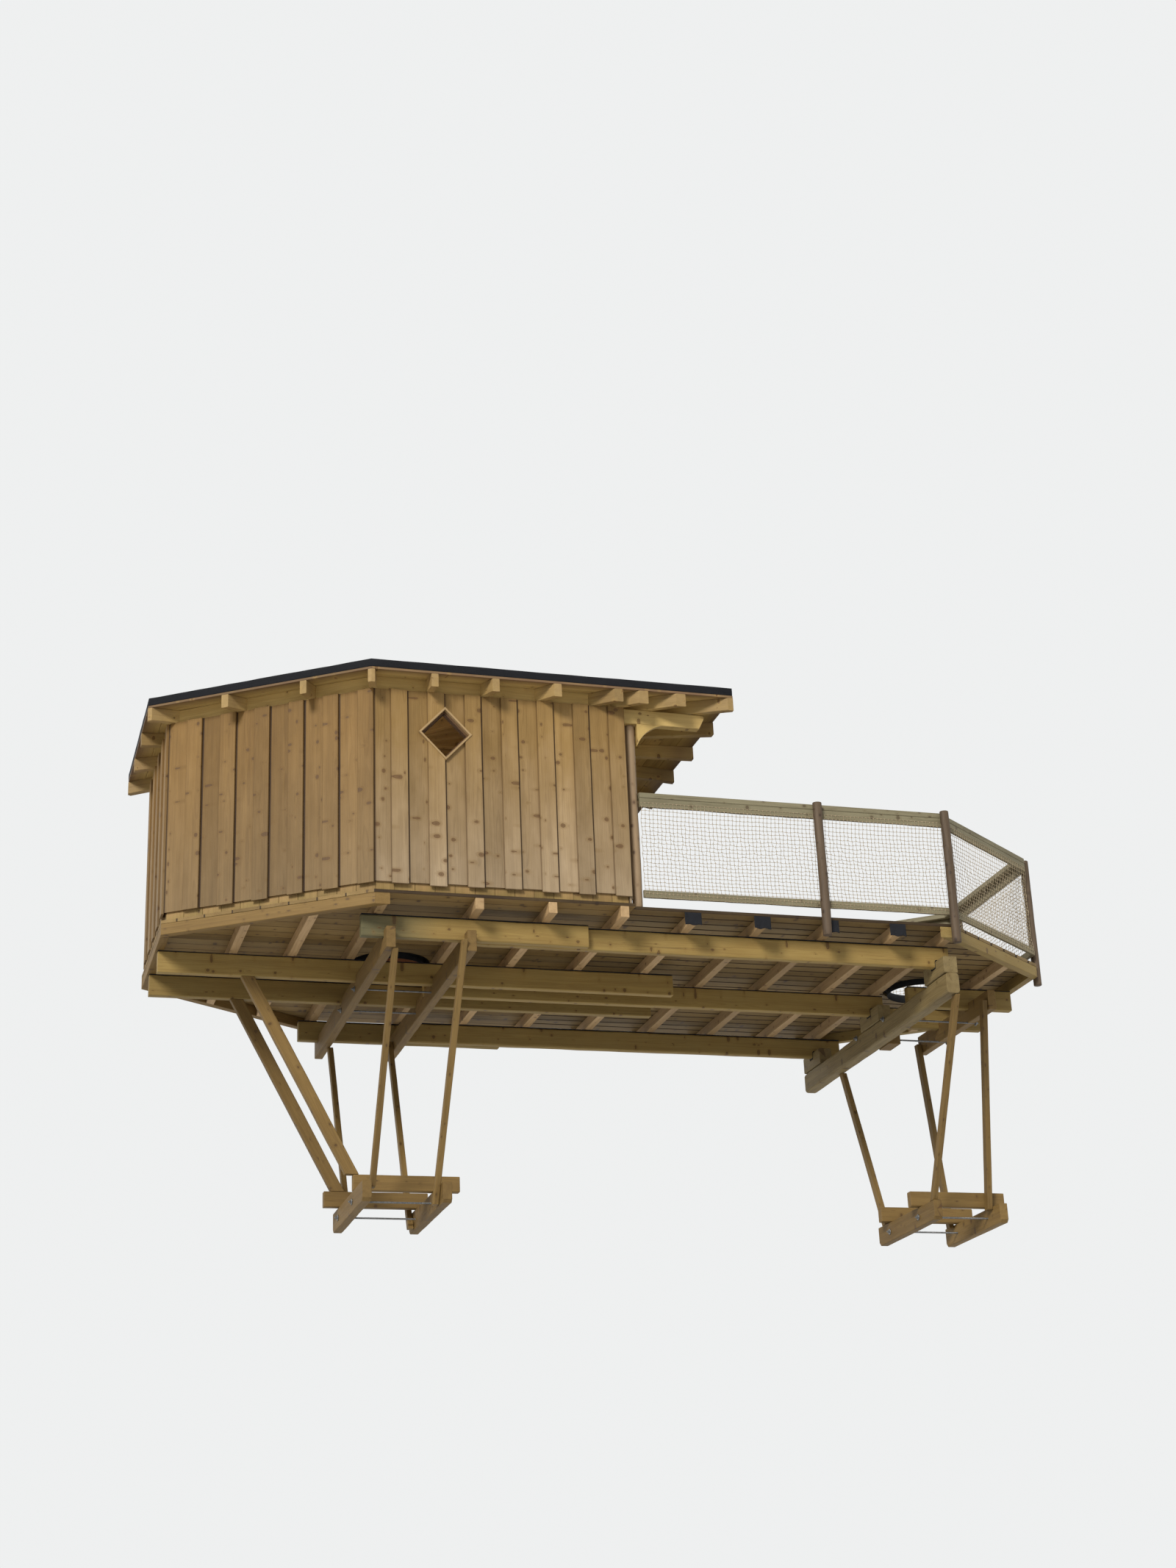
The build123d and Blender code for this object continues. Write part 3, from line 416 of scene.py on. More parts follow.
def straight_timber(points, triangles):
    """The straight timber that a solid is: both ends of its middle line, its upward side, its width and
    height and the planes of its ends. The direction is the one that the longest edges share."""
    edges = np.unique(np.sort(np.concatenate([triangles[:, [0, 1]], triangles[:, [1, 2]], triangles[:, [2, 0]]]),
                              axis=1), axis=0)
    step = points[edges[:, 1]] - points[edges[:, 0]]
    size = np.linalg.norm(step, axis=1)
    ways = step / size[:, None]
    longest = np.argsort(-size)[:16]
    score = [(size * (np.abs(ways @ ways[k]) > 1 - 1e-7)).sum() for k in longest]
    along = ways[longest[int(np.argmax(score))]]
    along = along * np.sign(along[np.argmax(np.abs(along))])
    corner = np.cross(points[triangles[:, 1]] - points[triangles[:, 0]],
                      points[triangles[:, 2]] - points[triangles[:, 0]])
    flat = np.abs(corner @ along) < 1e-4 * np.linalg.norm(corner, axis=1)
    top = unit(corner[flat][np.argmax(np.linalg.norm(corner[flat], axis=1))])
    side = np.cross(top, along)
    if abs(side[2]) > abs(top[2]):
        top = side
    top = top * (np.sign(top[2]) if abs(top[2]) > 0.1 else 1.0)
    side = np.cross(top, along)
    u, v, s = points @ side, points @ top, points @ along
    planes, middles = [], []
    at = np.array([(u.min() + u.max()) / 2, (v.min() + v.max()) / 2])
    for pick in (np.minimum, np.maximum):
        rows = []
        for cu in (u.min(), u.max()):
            for cv in (v.min(), v.max()):
                near = (np.abs(u - cu) < CORNER_SLACK) & (np.abs(v - cv) < CORNER_SLACK)
                if not near.any():
                    return None
                rows.append((cu - at[0], cv - at[1], pick.reduce(s[near])))
        rows = np.array(rows)
        basis = np.column_stack([rows[:, :2], np.ones(4)])
        fit = np.linalg.lstsq(basis, rows[:, 2], rcond=None)[0]
        if np.abs(basis @ fit - rows[:, 2]).max() > CORNER_SLACK:
            return None
        planes.append(along - fit[0] * side - fit[1] * top)
        middles.append(at[0] * side + at[1] * top + fit[2] * along)
    return middles[0], middles[1], top, u.max() - u.min(), v.max() - v.min(), planes


def saw(finish, *jobs):
    """Every straight timber of a node as a sawn timber in its place, one piece for each node."""
    for node, seed, skin, radius, wane, wave, fade in jobs:
        form = Form()
        for number, (points, triangles) in enumerate(solids(node)):
            found = straight_timber(points, triangles)
            if found is None:
                raise RuntimeError(f"a solid of {node} is not a straight timber")
            start, end, top, width, height, planes = found
            beam(form, start, end, top, width, -height / 2, height / 2, seed + number, cuts=planes,
                 radius=radius, wane=wane, wave=wave, fade=fade)
        form.make(node + "_timber", "spruce_beam", finish[skin], (node,))


def along_y(form, x_range, y_range, z_range, notches, seed, fade=0.15, wane=0.005, wave=0.003):
    """A timber along Y with notches in its upper side."""
    (x0, x1), (y0, y1), (low, high) = x_range, y_range, z_range
    stations = [(0.0, low, high)]
    for a, b, level in notches:
        stations += [(a - y0, low, high), (a - y0 + 0.001, low, level),
                     (b - y0 - 0.001, low, level), (b - y0, low, high)]
    stations.append((y1 - y0, low, high))
    x = (x0 + x1) / 2
    beam(form, (x, y0, 0.0), (x, y1, 0.0), UP, x1 - x0, low, high, seed, stations=stations, wane=wane,
         wave=wave, fade=fade)


def carved(name, node, material, along, width):
    """A merged copy of a node that is no straight timber, with its flat faces joined, its edges bevelled
    and a grain along one direction."""
    mesh = frame["nodes"][node].data.copy()
    mesh.name = name
    work = bmesh.new()
    work.from_mesh(mesh)
    bmesh.ops.remove_doubles(work, verts=work.verts, dist=0.00005)
    bmesh.ops.dissolve_limit(work, angle_limit=0.01, verts=work.verts, edges=work.edges)
    bmesh.ops.recalc_face_normals(work, faces=work.faces)
    work.to_mesh(mesh)
    work.free()
    along = unit(np.array(along, float))
    side = unit(np.cross(UP, along))
    points = points_of(mesh)
    place = points - (points.min(0) + points.max(0)) / 2
    back = np.where(points[:, 1] > TRUNK_Y, 1.0, 0.0)
    grain = np.stack([points @ along + 3.7 * back, place @ side % 0.31 - 0.05,
                      place @ np.cross(along, side) + 0.03], -1)
    write_layers(mesh, grain, tone=0.35 + 0.3 * back, fade=0.0 * back, grime=0.0 * back)
    mesh.materials.clear()
    piece = dressed(name, mesh, material, (node,))
    soften = piece.modifiers.new("Bevel", "BEVEL")
    soften.width = width
    soften.segments = 2
    soften.limit_method = "ANGLE"
    soften.angle_limit = 0.6
    soften.use_clamp_overlap = True


class Nodes:
    """Short calls for building one material's node tree."""

    def __init__(self, name):
        self.material = bpy.data.materials.new(name)
        self.material.use_nodes = True
        self.tree = self.material.node_tree
        self.shader = self.tree.nodes["Principled BSDF"]

    def node(self, kind, **values):
        made = self.tree.nodes.new(kind)
        for key, value in values.items():
            setattr(made, key, value)
        return made

    def link(self, source, target):
        self.tree.links.new(source, target)

    def feed(self, target, value):
        if isinstance(value, bpy.types.NodeSocket):
            self.link(value, target)
        else:
            target.default_value = value

    def attribute(self, name, output="Fac"):
        return self.node("ShaderNodeAttribute", attribute_name=name).outputs[output]

    def place(self):
        return self.node("ShaderNodeTexCoord").outputs["Object"]

    def split(self, vector):
        made = self.node("ShaderNodeSeparateXYZ")
        self.link(vector, made.inputs[0])
        return made.outputs

    def join(self, *parts):
        made = self.node("ShaderNodeCombineXYZ")
        for socket, part in zip(made.inputs, parts):
            self.link(part, socket)
        return made.outputs[0]

    def math(self, operation, a, b=0.0, c=0.0, clamp=False):
        made = self.node("ShaderNodeMath", operation=operation, use_clamp=clamp)
        for socket, value in zip(made.inputs, (a, b, c)):
            self.feed(socket, value)
        return made.outputs[0]

    def about(self, value, amount, base, middle=0.5, clamp=False):
        """base + amount * (value - middle)"""
        return self.math("MULTIPLY_ADD", self.math("SUBTRACT", value, middle), amount, base, clamp)

    def vector(self, operation, a, b):
        made = self.node("ShaderNodeVectorMath", operation=operation)
        self.feed(made.inputs[0], a)
        self.feed(made.inputs[1], b)
        return made.outputs[0]

    def noise(self, place, scale=1.0, detail=3.0, rough=0.55, distortion=0.0):
        made = self.node("ShaderNodeTexNoise")
        self.link(place, made.inputs["Vector"])
        for key, value in (("Scale", scale), ("Detail", detail), ("Roughness", rough), ("Distortion", distortion)):
            made.inputs[key].default_value = value
        return made.outputs["Fac"]

    def cells(self, place, scale, output, dimensions="3D"):
        made = self.node("ShaderNodeTexVoronoi", voronoi_dimensions=dimensions)
        self.link(place, made.inputs["Vector"])
        made.inputs["Scale"].default_value = scale
        return made.outputs[output]

    def ramp(self, value, *stops):
        """A smooth map of a number to a number or colour through (position, value) stops."""
        made = self.node("ShaderNodeValToRGB")
        self.link(value, made.inputs[0])
        band = made.color_ramp
        while len(band.elements) < len(stops):
            band.elements.new(0.5)
        for element, (position, colour) in zip(band.elements, stops):
            element.position = position
            colour = (colour,) * 3 if isinstance(colour, (int, float)) else colour
            element.color = (*colour, 1.0)
        return made.outputs[0]

    def mix(self, share, a, b, blend="MIX"):
        made = self.node("ShaderNodeMix", data_type="RGBA", blend_type=blend, clamp_factor=True)
        self.feed(made.inputs[0], share)
        for socket, value in ((made.inputs[6], a), (made.inputs[7], b)):
            self.feed(socket, (*value, 1.0) if isinstance(value, tuple) else value)
        return made.outputs[2]

    def finish(self, colour, rough, height=None, depth=0.002, strength=0.6, **constants):
        for key, value in constants.items():
            self.shader.inputs[key.replace("_", " ")].default_value = value
        self.feed(self.shader.inputs["Base Color"], colour)
        self.feed(self.shader.inputs["Roughness"], rough)
        if height is not None:
            bump = self.node("ShaderNodeBump")
            bump.inputs["Strength"].default_value = strength
            bump.inputs["Distance"].default_value = depth
            self.link(height, bump.inputs["Height"])
            self.link(bump.outputs[0], self.shader.inputs["Normal"])
        return self.material


def scaled(colour, by):
    """A colour made lighter or darker."""
    return tuple(by * c for c in colour)


def wood(name, light, dark, faded, knot, rings=0.011, knots=1.0, spread=0.35, streaks=0.5, checks=0.3,
         bump=0.0012):
    """Sawn softwood on its own grain coordinate (along, across, across): rings round the pith, streaks along
    the grain, knots as cones that leave the pith, a shade for each piece, a faded colour and painted joint shade."""
    n = Nodes(name)
    grain = n.attribute("grain", "Vector")
    tone, fade, grime = n.attribute("tone"), n.attribute("fade"), n.attribute("grime")

    def streak(stretch, detail=3.0, rough=0.55):
        return n.noise(n.vector("MULTIPLY", grain, stretch), 1.0, detail, rough)

    run, across, deep = n.split(grain)
    length = n.node("ShaderNodeVectorMath", operation="LENGTH")
    n.link(n.vector("MULTIPLY", grain, (0.0, 1.0, 1.0)), length.inputs[0])
    place = n.join(n.math("MULTIPLY", run, 6.2), n.math("MULTIPLY", n.math("ARCTAN2", deep, across), 0.36))
    knot_size = n.math("MULTIPLY", n.ramp(n.noise(place, 0.9, 0.0), (0.35, 0.15), (0.65, 1.0)), 0.10 * knots)
    away_knot = n.about(streak((38.0, 60.0, 60.0)), 0.045, n.cells(place, 1.0, "Distance", "2D"))
    inside = n.math("SUBTRACT", 1.0, n.math("DIVIDE", away_knot, n.math("MAXIMUM", knot_size, 0.001)), clamp=True)
    knot_mask = n.ramp(inside, (0.0, 0.0), (0.10, 0.95), (0.34, 0.55), (1.0, 0.85))
    halo = n.ramp(n.math("SUBTRACT", away_knot, knot_size), (0.0, 1.0), (0.13, 0.0))
    ring = n.about(streak((1.3, 7.0, 7.0), 2.0), 0.045, length.outputs["Value"])
    ring = n.math("FRACT", n.math("DIVIDE", n.math("MULTIPLY_ADD", halo, 0.016, ring), rings))
    late = n.ramp(ring, (0.0, 0.15), (0.55, 0.2), (0.82, 0.85), (0.93, 1.0), (1.0, 0.15))
    fine = streak((5.0, 210.0, 210.0), 3.0, 0.6)
    wide = streak((0.9, 24.0, 24.0), 4.0, 0.62)
    blotch = streak((2.3, 5.0, 5.0), 3.0, 0.6)
    contrast = n.about(fine, streaks, n.math("MULTIPLY", late, 0.34))
    contrast = n.about(wide, 1.5, contrast, 0.45, True)
    worn = n.mix(contrast, faded, scaled(faded, 0.62))
    colour = n.mix(n.about(blotch, 0.55, fade, clamp=True), n.mix(contrast, light, dark), worn)
    level = n.about(blotch, 0.5, n.about(tone, spread, 1.0))
    shade = n.join(*(n.about(tone, lean * spread, level) for lean in (0.0, 0.05, 0.18)))
    colour = n.mix(1.0, colour, shade, "MULTIPLY")
    colour = n.mix(n.math("MULTIPLY", halo, 0.4), colour, dark)
    colour = n.mix(n.math("MULTIPLY", knot_mask, 0.92), colour, knot)
    crack = n.math("MULTIPLY", n.ramp(streak((1.1, 60.0, 60.0), 2.0, 0.5), (0.66, 0.0), (0.72, 1.0)),
                   n.ramp(streak((1.7, 9.0, 9.0), 1.0), (0.5, 0.0), (0.62, 1.0)))
    # This dark colour darkens the cracks and the painted shade in the joints.
    shade_dark = scaled(knot, 0.45)
    colour = n.mix(n.math("MULTIPLY", crack, checks), colour, shade_dark)
    # Painted shade in the joints and along board sides, broken up by the blotches.
    colour = n.mix(n.math("MULTIPLY", n.math("MULTIPLY_ADD", blotch, 0.6, 0.65), grime, clamp=True), colour, shade_dark)
    rough = n.math("MULTIPLY_ADD", knot_mask, -0.15, n.math("MULTIPLY_ADD", fine, 0.25, 0.5))
    height = n.math("MULTIPLY_ADD", late, 0.25, n.math("MULTIPLY", fine, 0.6))
    height = n.math("MULTIPLY_ADD", wide, 0.6, height)
    height = n.math("MULTIPLY_ADD", crack, -1.2 * checks, height)
    return n.finish(colour, rough, height, bump, 0.7, Specular_IOR_Level=0.3)


def felt(name, low, high):
    """Mineral felt: grains of two shades, worn patches and fine creases."""
    n = Nodes(name)
    place = n.place()
    grit = n.noise(place, 260.0, 2.0, 0.7)
    patch = n.noise(place, 4.5, 4.0, 0.65)
    crease = n.noise(n.vector("MULTIPLY", place, (3.0, 3.0, 14.0)), 1.6, 3.0, 0.5, 1.4)
    colour = n.mix(n.ramp(grit, (0.42, 0.0), (0.62, 1.0)), low, high)
    colour = n.mix(n.ramp(patch, (0.45, 0.0), (0.75, 0.6)), colour, scaled(high, 1.35))
    height = n.math("ADD", n.math("MULTIPLY", grit, 0.3), crease)
    return n.finish(colour, n.ramp(patch, (0.2, 0.72), (0.8, 0.9)), height, 0.004, 0.7,
                    Specular_IOR_Level=0.2, Sheen_Weight=0.02)


def rubber(name):
    """Black sheet rubber with a bloom of dust in patches."""
    n = Nodes(name)
    place = n.place()
    dust = n.noise(place, 9.0, 5.0, 0.7)
    colour = n.mix(n.ramp(dust, (0.45, 0.0), (0.8, 0.7)), (0.012, 0.013, 0.015), (0.04, 0.04, 0.041))
    height = n.math("ADD", n.noise(place, 320.0, 1.0), n.math("MULTIPLY", dust, 2.0))
    return n.finish(colour, n.ramp(dust, (0.3, 0.62), (0.75, 0.85)), height, 0.0012, 0.4, Specular_IOR_Level=0.2)


def steel(name):
    """Galvanised steel: crystals of two greys under a dull film, with a thread's fine ribs along its own grain."""
    n = Nodes(name)
    place = n.place()
    film = n.noise(place, 25.0, 4.0, 0.6)
    spot = n.ramp(n.noise(place, 60.0, 3.0, 0.7), (0.66, 0.0), (0.78, 1.0))
    crystal = n.ramp(n.cells(place, 90.0, "Color"), (0.2, 0.0), (0.8, 1.0))
    colour = n.mix(crystal, (0.20, 0.205, 0.21), (0.34, 0.345, 0.35))
    colour = n.mix(n.math("MULTIPLY", film, 0.6), colour, (0.16, 0.16, 0.16))
    colour = n.mix(n.math("MULTIPLY", spot, 0.6), colour, (0.16, 0.08, 0.035))
    run = n.split(n.attribute("grain", "Vector"))[0]
    thread = n.math("MULTIPLY", n.math("SINE", n.math("MULTIPLY", run, TURN / 0.002)), n.attribute("fade"))
    return n.finish(colour, n.ramp(film, (0.3, 0.34), (0.7, 0.55)), n.math("ADD", thread, film), 0.0008, 0.6,
                    Metallic=0.85)


def cord(name):
    """Laid cord: strands that turn round its own grain coordinate, with paler and darker lengths."""
    n = Nodes(name)
    grain = n.attribute("grain", "Vector")
    run, angle, _ = n.split(grain)
    turn = n.math("MULTIPLY_ADD", run, 900.0, n.math("MULTIPLY", angle, 3.0))
    strand = n.math("MULTIPLY_ADD", n.math("SINE", turn), 0.5, 0.5)
    length = n.noise(n.vector("MULTIPLY", grain, (6.0, 1.0, 1.0)), 1.0, 2.0)
    colour = n.mix(strand, (0.42, 0.32, 0.19), (0.66, 0.55, 0.38))
    colour = n.mix(n.ramp(length, (0.4, 0.0), (0.75, 0.7)), colour, (0.3, 0.24, 0.15))
    return n.finish(colour, 0.85, strand, 0.0006, 0.6)


def glass(name):
    """Clear pane with a faint film, dust in patches and a slight swell."""
    n = Nodes(name)
    film = n.noise(n.place(), 7.0, 4.0, 0.7)
    colour = n.mix(n.ramp(film, (0.4, 0.0), (0.8, 0.5)), (0.96, 0.97, 0.96), (0.82, 0.82, 0.78))
    return n.finish(colour, n.ramp(film, (0.35, 0.02), (0.8, 0.16)), film, 0.002, 0.2,
                    Transmission_Weight=1.0, IOR=1.08, Alpha=0.22)


MATERIALS = {}


def materials():
    """Every finish of the tree house, made once."""
    if not MATERIALS:
        MATERIALS.update(
            cladding=wood("cladding_spruce", (0.305, 0.187, 0.062), (0.185, 0.104, 0.029), (0.38, 0.285, 0.18),
                          (0.095, 0.04, 0.014), knots=1.2, spread=0.42, streaks=0.4, checks=0.15),
            # A darker copy of the cladding for the three left walls: painted shade.
            cladding_side=wood("shaded_spruce", (0.25, 0.143, 0.042), (0.152, 0.08, 0.02), (0.225, 0.15, 0.07),
                               (0.07, 0.03, 0.01), knots=1.2, spread=0.4, streaks=0.4, checks=0.15),
            frieze=wood("eave_spruce", (0.62, 0.44, 0.16), (0.42, 0.27, 0.085), (0.16, 0.09, 0.048),
                        (0.09, 0.035, 0.012), spread=0.4),
            trim=wood("planed_spruce", (0.44, 0.30, 0.145), (0.31, 0.19, 0.08), (0.38, 0.29, 0.18),
                      (0.13, 0.06, 0.02), spread=0.2, streaks=0.3, checks=0.05),
            # A much darker copy of the planed spruce for the window's recess: painted shade.
            reveal=wood("reveal_spruce", (0.12, 0.065, 0.03), (0.07, 0.035, 0.015), (0.1, 0.05, 0.025),
                        (0.04, 0.018, 0.008), spread=0.2, streaks=0.3, checks=0.05),
            # The lining's reddish colour is partly its own, partly painted light: raised so the room inside looks
            # lit.
            inside=wood("inner_lining", (0.30, 0.21, 0.07), (0.19, 0.12, 0.036), (0.45, 0.23, 0.13),
                        (0.10, 0.05, 0.02), spread=0.3, streaks=0.3),
            beam=wood("beam_spruce", (0.35, 0.235, 0.07), (0.21, 0.12, 0.032), (0.145, 0.13, 0.065),
                      (0.075, 0.032, 0.012), knots=1.0, spread=0.3, bump=0.0018),
            lower=wood("clamp_spruce", (0.235, 0.143, 0.043), (0.125, 0.07, 0.02), (0.12, 0.085, 0.035),
                       (0.065, 0.032, 0.014), spread=0.3, bump=0.0018),
            hewn=wood("hewn_spruce", (0.27, 0.19, 0.075), (0.13, 0.08, 0.027), (0.20, 0.17, 0.09),
                      (0.06, 0.028, 0.01), knots=1.2, spread=0.3, streaks=0.7, checks=0.9, bump=0.004),
            # Paler spruce for the joists: partly their own colour, partly painted sunlight on their ends and
            # undersides.
            joist=wood("joist_spruce", (0.48, 0.32, 0.16), (0.30, 0.18, 0.08), (0.34, 0.24, 0.13),
                       (0.08, 0.035, 0.014), spread=0.45, bump=0.0018),
            floor=wood("floor_spruce", (0.26, 0.165, 0.055), (0.15, 0.085, 0.026), (0.17, 0.13, 0.065),
                       (0.04, 0.018, 0.007), knots=1.2, spread=0.5),
            rail=wood("rail_weathered", (0.27, 0.225, 0.135), (0.15, 0.115, 0.06), (0.215, 0.205, 0.13),
                      (0.07, 0.045, 0.025), spread=0.25),
            pole=wood("pole_weathered", (0.125, 0.08, 0.047), (0.045, 0.028, 0.017), (0.105, 0.082, 0.056),
                      (0.025, 0.014, 0.008), rings=0.02, spread=0.3, checks=0.6, bump=0.003),
            porch=wood("porch_pole", (0.36, 0.24, 0.13), (0.20, 0.12, 0.06), (0.26, 0.2, 0.13),
                       (0.07, 0.035, 0.018), rings=0.02, spread=0.3, checks=0.4, bump=0.003),
            roof_felt=felt("roof_felt", (0.004, 0.0045, 0.006), (0.013, 0.0135, 0.017)),
            strip_felt=felt("strip_felt", (0.006, 0.0065, 0.008), (0.02, 0.021, 0.026)),
            rubber=rubber("black_rubber"),
            steel=steel("galvanised_steel"),
            glass=glass("window_glass"),
            cord=cord("net_cord"),
        )
    return MATERIALS


def panel_length(name, description, default, low, high):
    """A length that the panel offers."""
    return bpy.props.FloatProperty(name=name, description=description, default=default, min=low, max=high,
                                   subtype="DISTANCE", unit="LENGTH")


def panel_amount(name, description, default, high):
    """A number without a unit that the panel offers."""
    return bpy.props.FloatProperty(name=name, description=description, default=default, min=0.0, max=high,
                                   subtype="FACTOR")


class TreeHouseLook(bpy.types.PropertyGroup):
    """Sizes and amounts that the dressing of the tree house takes."""

    floor_board: panel_length("Floor board", "Width of a floor board", 0.142, 0.06, 0.3)
    deck_gap: panel_length("Deck gap", "Open gap between the boards of the deck", 0.012, 0.0, 0.03)
    roof_board: panel_length("Roof board", "Width of a roof board along the slope", 0.148, 0.06, 0.3)
    net_mesh: panel_length("Net mesh", "Side of one mesh of the netting", 0.036, 0.03, 0.12)
    net_cord: panel_length("Net cord", "Radius of the cord of the netting", 0.0015, 0.0008, 0.005)
    pole_swell: panel_amount("Pole swell", "How uneven the natural poles are", 0.10, 0.3)
    key_light: panel_amount("Key light", "Strength of the soft key light", 2.5, 10.0)


def window_gap(u, low_side):
    """Lower or upper edge of the diamond at a place along the front wall: middle -+ half height * (1 - |u| / half
    width), and the middle itself beside the diamond."""
    x, z, half_width, half_height = WINDOW
    reach = np.clip(1 - np.abs(u - (x - CABIN[0][0])) / half_width, 0, 1) * half_height
    return z - reach if low_side else z + reach


def wall_board(form, index, u_range, v_range, bottom, seed, lean=(0.0, 0.0), bevel=0.002, wave=0.0, joint=(),
               inner=False):
    """A standing board of one wall, cut to the rafters above and round the window or the doorway. Where it
    has a joint, shade is painted along its two sides, darkest where the over board's shadow falls. The face
    of a board looks into the cabin, so depths that count outwards change their sign."""
    start, along, outward, _ = side_of(CABIN, index)
    rng = np.random.default_rng(seed + 7000)
    tone = rng.uniform(0, 1)
    heart = (rng.uniform(-0.5, 0.5) * (u_range[1] - u_range[0]), pith_depth(rng, 0.03, 0.08))

    def top(u, v):
        x, y = (start[k] + u * along[k] + v * outward[k] for k in (0, 1))
        return roof_level(x, y, EAVE - RAFTER_DEPTH)

    def foot(u, v):
        return np.full(u.shape, bottom)

    # Inside, the lining takes that reddish colour, partly painted light, above its lowest strip.
    def fade(points):
        share = (points[..., 2] - CLAD_BOTTOM) / FADE_HEIGHT
        return (np.clip(share * 6.0, 0, 1) if inner else np.clip(1.0 - share * 1.25, 0, 1) * 0.85).ravel()

    # Painted shadow on an under board: 0.95 beside the over board's right edge, 0.4 beside the next over board's left
    # edge.
    def shade_dark(u):
        return np.where(u <= joint[1] + 0.0001, 0.95, np.where(u >= joint[3] - 0.0001, 0.4, 0.0))

    # Boards without a joint get painted shade of 0.25 along their sides.
    def put(starts, ends, splits=()):
        board(form, (start[0], start[1], 0.0), UP, (along[0], along[1], 0.0), u_range, (-v_range[1], -v_range[0]),
              lambda u, v: starts(u, -v), lambda u, v: ends(u, -v), seed, (*splits, *joint), (-lean[0], -lean[1]),
              bevel, wave=wave, fade=fade, tone=tone, heart=heart, grime=shade_dark if joint else None,
              edges=0.0 if joint else 0.25)

    middle, half_width = WINDOW[0] - CABIN[0][0], WINDOW[2]
    if index == 0 and u_range[0] < middle + half_width and u_range[1] > middle - half_width:
        splits = (middle - half_width, middle, middle + half_width)
        put(foot, lambda u, v: window_gap(u, True), splits)
        put(lambda u, v: window_gap(u, False), top, splits)
        return
    d0, d1 = DOOR[0] - start[1], DOOR[1] - start[1]
    if index == 1 and u_range[0] < d1 and u_range[1] > d0:
        splits = (d0 - 0.0004, d0 + 0.0004, d1 - 0.0004, d1 + 0.0004)
        put(lambda u, v: np.where((u > d0) & (u < d1), DOOR[2], bottom), top, splits)
        return
    put(foot, top)


class TREEHOUSE_OT_walls(bpy.types.Operator):
    """Clads the six walls with boards on boards over an inner lining of planks"""

    bl_idname = "treehouse.walls"
    bl_label = "Walls"

    def execute(self, context):
        finish = materials()
        names = ("front_wall", "door_wall_sides", "back_wall", "back_left_wall", "left_wall", "front_left_wall")
        for index, node in enumerate(names):
            length = side_of(CABIN, index)[3]
            turns = (mitre(CABIN, index), mitre(CABIN, (index + 1) % 6))
            count = 1 + int((length - CLAD_WIDTH) // CLAD_PITCH)
            middles = [length - k * CLAD_PITCH - CLAD_WIDTH / 2 for k in range(count)][::-1]
            rng = np.random.default_rng(100 + index)
            over, under, lining = Form(), Form(), Form()
            for k, middle in enumerate(middles):
                width = CLAD_WIDTH - rng.uniform(0.0, 0.006)
                u0 = middle - width / 2 + (0.0 if k < count - 1 else (CLAD_WIDTH - width) / 2)
                wall_board(over, index, (u0, u0 + width), (0.0, BOARD), CLAD_BOTTOM + rng.uniform(0, 0.013),
                           1000 * index + k, wave=0.003, bevel=0.003)
            edges = [0.0, *middles, length]
            for k in range(count + 1):
                first, last = k == 0, k == count
                u0, u1 = edges[k] + (0.0 if first else LAP), edges[k + 1] - (0.0 if last else LAP)
                if u1 - u0 < 0.02:
                    continue
                # The joint marks where the over boards' painted shadow lies on this under board.
                near = 0.003 if first else edges[k] + CLAD_WIDTH / 2
                far = length + 0.1 if last else edges[k + 1] - CLAD_WIDTH / 2
                joint = (near, near + (0.0 if first else 0.008), near + 0.012, far, far - 0.003)
                wall_board(under, index, (u0, u1), (-BOARD, -0.0005), CLAD_BOTTOM + CLAD_STEP + rng.uniform(0, 0.012),
                           1000 * index + 100 + k, lean=(first * turns[0], last * turns[1]), joint=joint)
            planks = int(round(length / LINING_WIDTH))
            cuts = np.linspace(0, length, planks + 1)
            for k in range(planks):
                wall_board(lining, index, (cuts[k], cuts[k + 1] - SEAM), (-BOARD - WALL_FRAME, -BOARD - 0.0005),
                           FLOOR, 1000 * index + 200 + k, lean=((k == 0) * turns[0], (k == planks - 1) * turns[1]),
                           bevel=0.003, inner=True)
            if index == 0:
                x, y = CABIN[1] + (-0.011, 0.011)
                beam(under, (x, y, FLOOR), (x, y, CLAD_BOTTOM + CLAD_STEP + 0.002), (0, 1, 0), CORNER_POST,
                     -CORNER_POST / 2, CORNER_POST / 2, 4100, tone=0.0, fade=1.0)
            whole = node.replace("_sides", "")
            # The three left walls take the darker copy of the cladding: painted shade.
            shell = finish["cladding" if index < 3 else "cladding_side"]
            over.make(whole + "_boards", "spruce_board", shell, (node,) if index != 1 else (node, "door_wall_head"))
            under.make(whole + "_under_boards", "spruce_board", shell, ())
            lining.make(whole + "_lining", "spruce_board", finish["inside"], ())
        return {"FINISHED"}


class TREEHOUSE_OT_window(bpy.types.Operator):
    """Puts four mitred boards round the diamond window and glazes it"""

    bl_idname = "treehouse.window"
    bl_label = "Window"

    def execute(self, context):
        finish = materials()
        form, rebate = Form(), Form()
        x, z, half_width, half_height = WINDOW
        corners = np.array([(x, z - half_height), (x + half_width, z), (x, z + half_height), (x - half_width, z)])
        low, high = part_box("window_frame")
        depth = high[1] - low[1]
        for k in range(4):
            a, along, outward, length = side_of(corners, k)
            before, after = mitre(corners, k), mitre(corners, (k + 1) % 4)
            for part, wide, near, far in ((form, 0.016, depth - 0.042, depth), (rebate, 0.030, 0.0, depth - 0.0425)):
                board(part, (a[0], high[1], a[1]), (along[0], 0.0, along[1]), (-outward[0], 0.0, -outward[1]),
                      (0.0, wide), (near, far), lambda u, v: u * before + 0.0002,
                      lambda u, v: length - u * after - 0.0002, 4200 + k, bevel=0.0015, pace=0.1)
        form.make("window_surround", "spruce_board", finish["trim"], ("window_frame",))
        # The rebate boards in the window's recess take the darker copy: painted shade.
        rebate.make("window_rebate", "spruce_board", finish["reveal"])
        refinish("window_pane", finish["glass"])
        return {"FINISHED"}


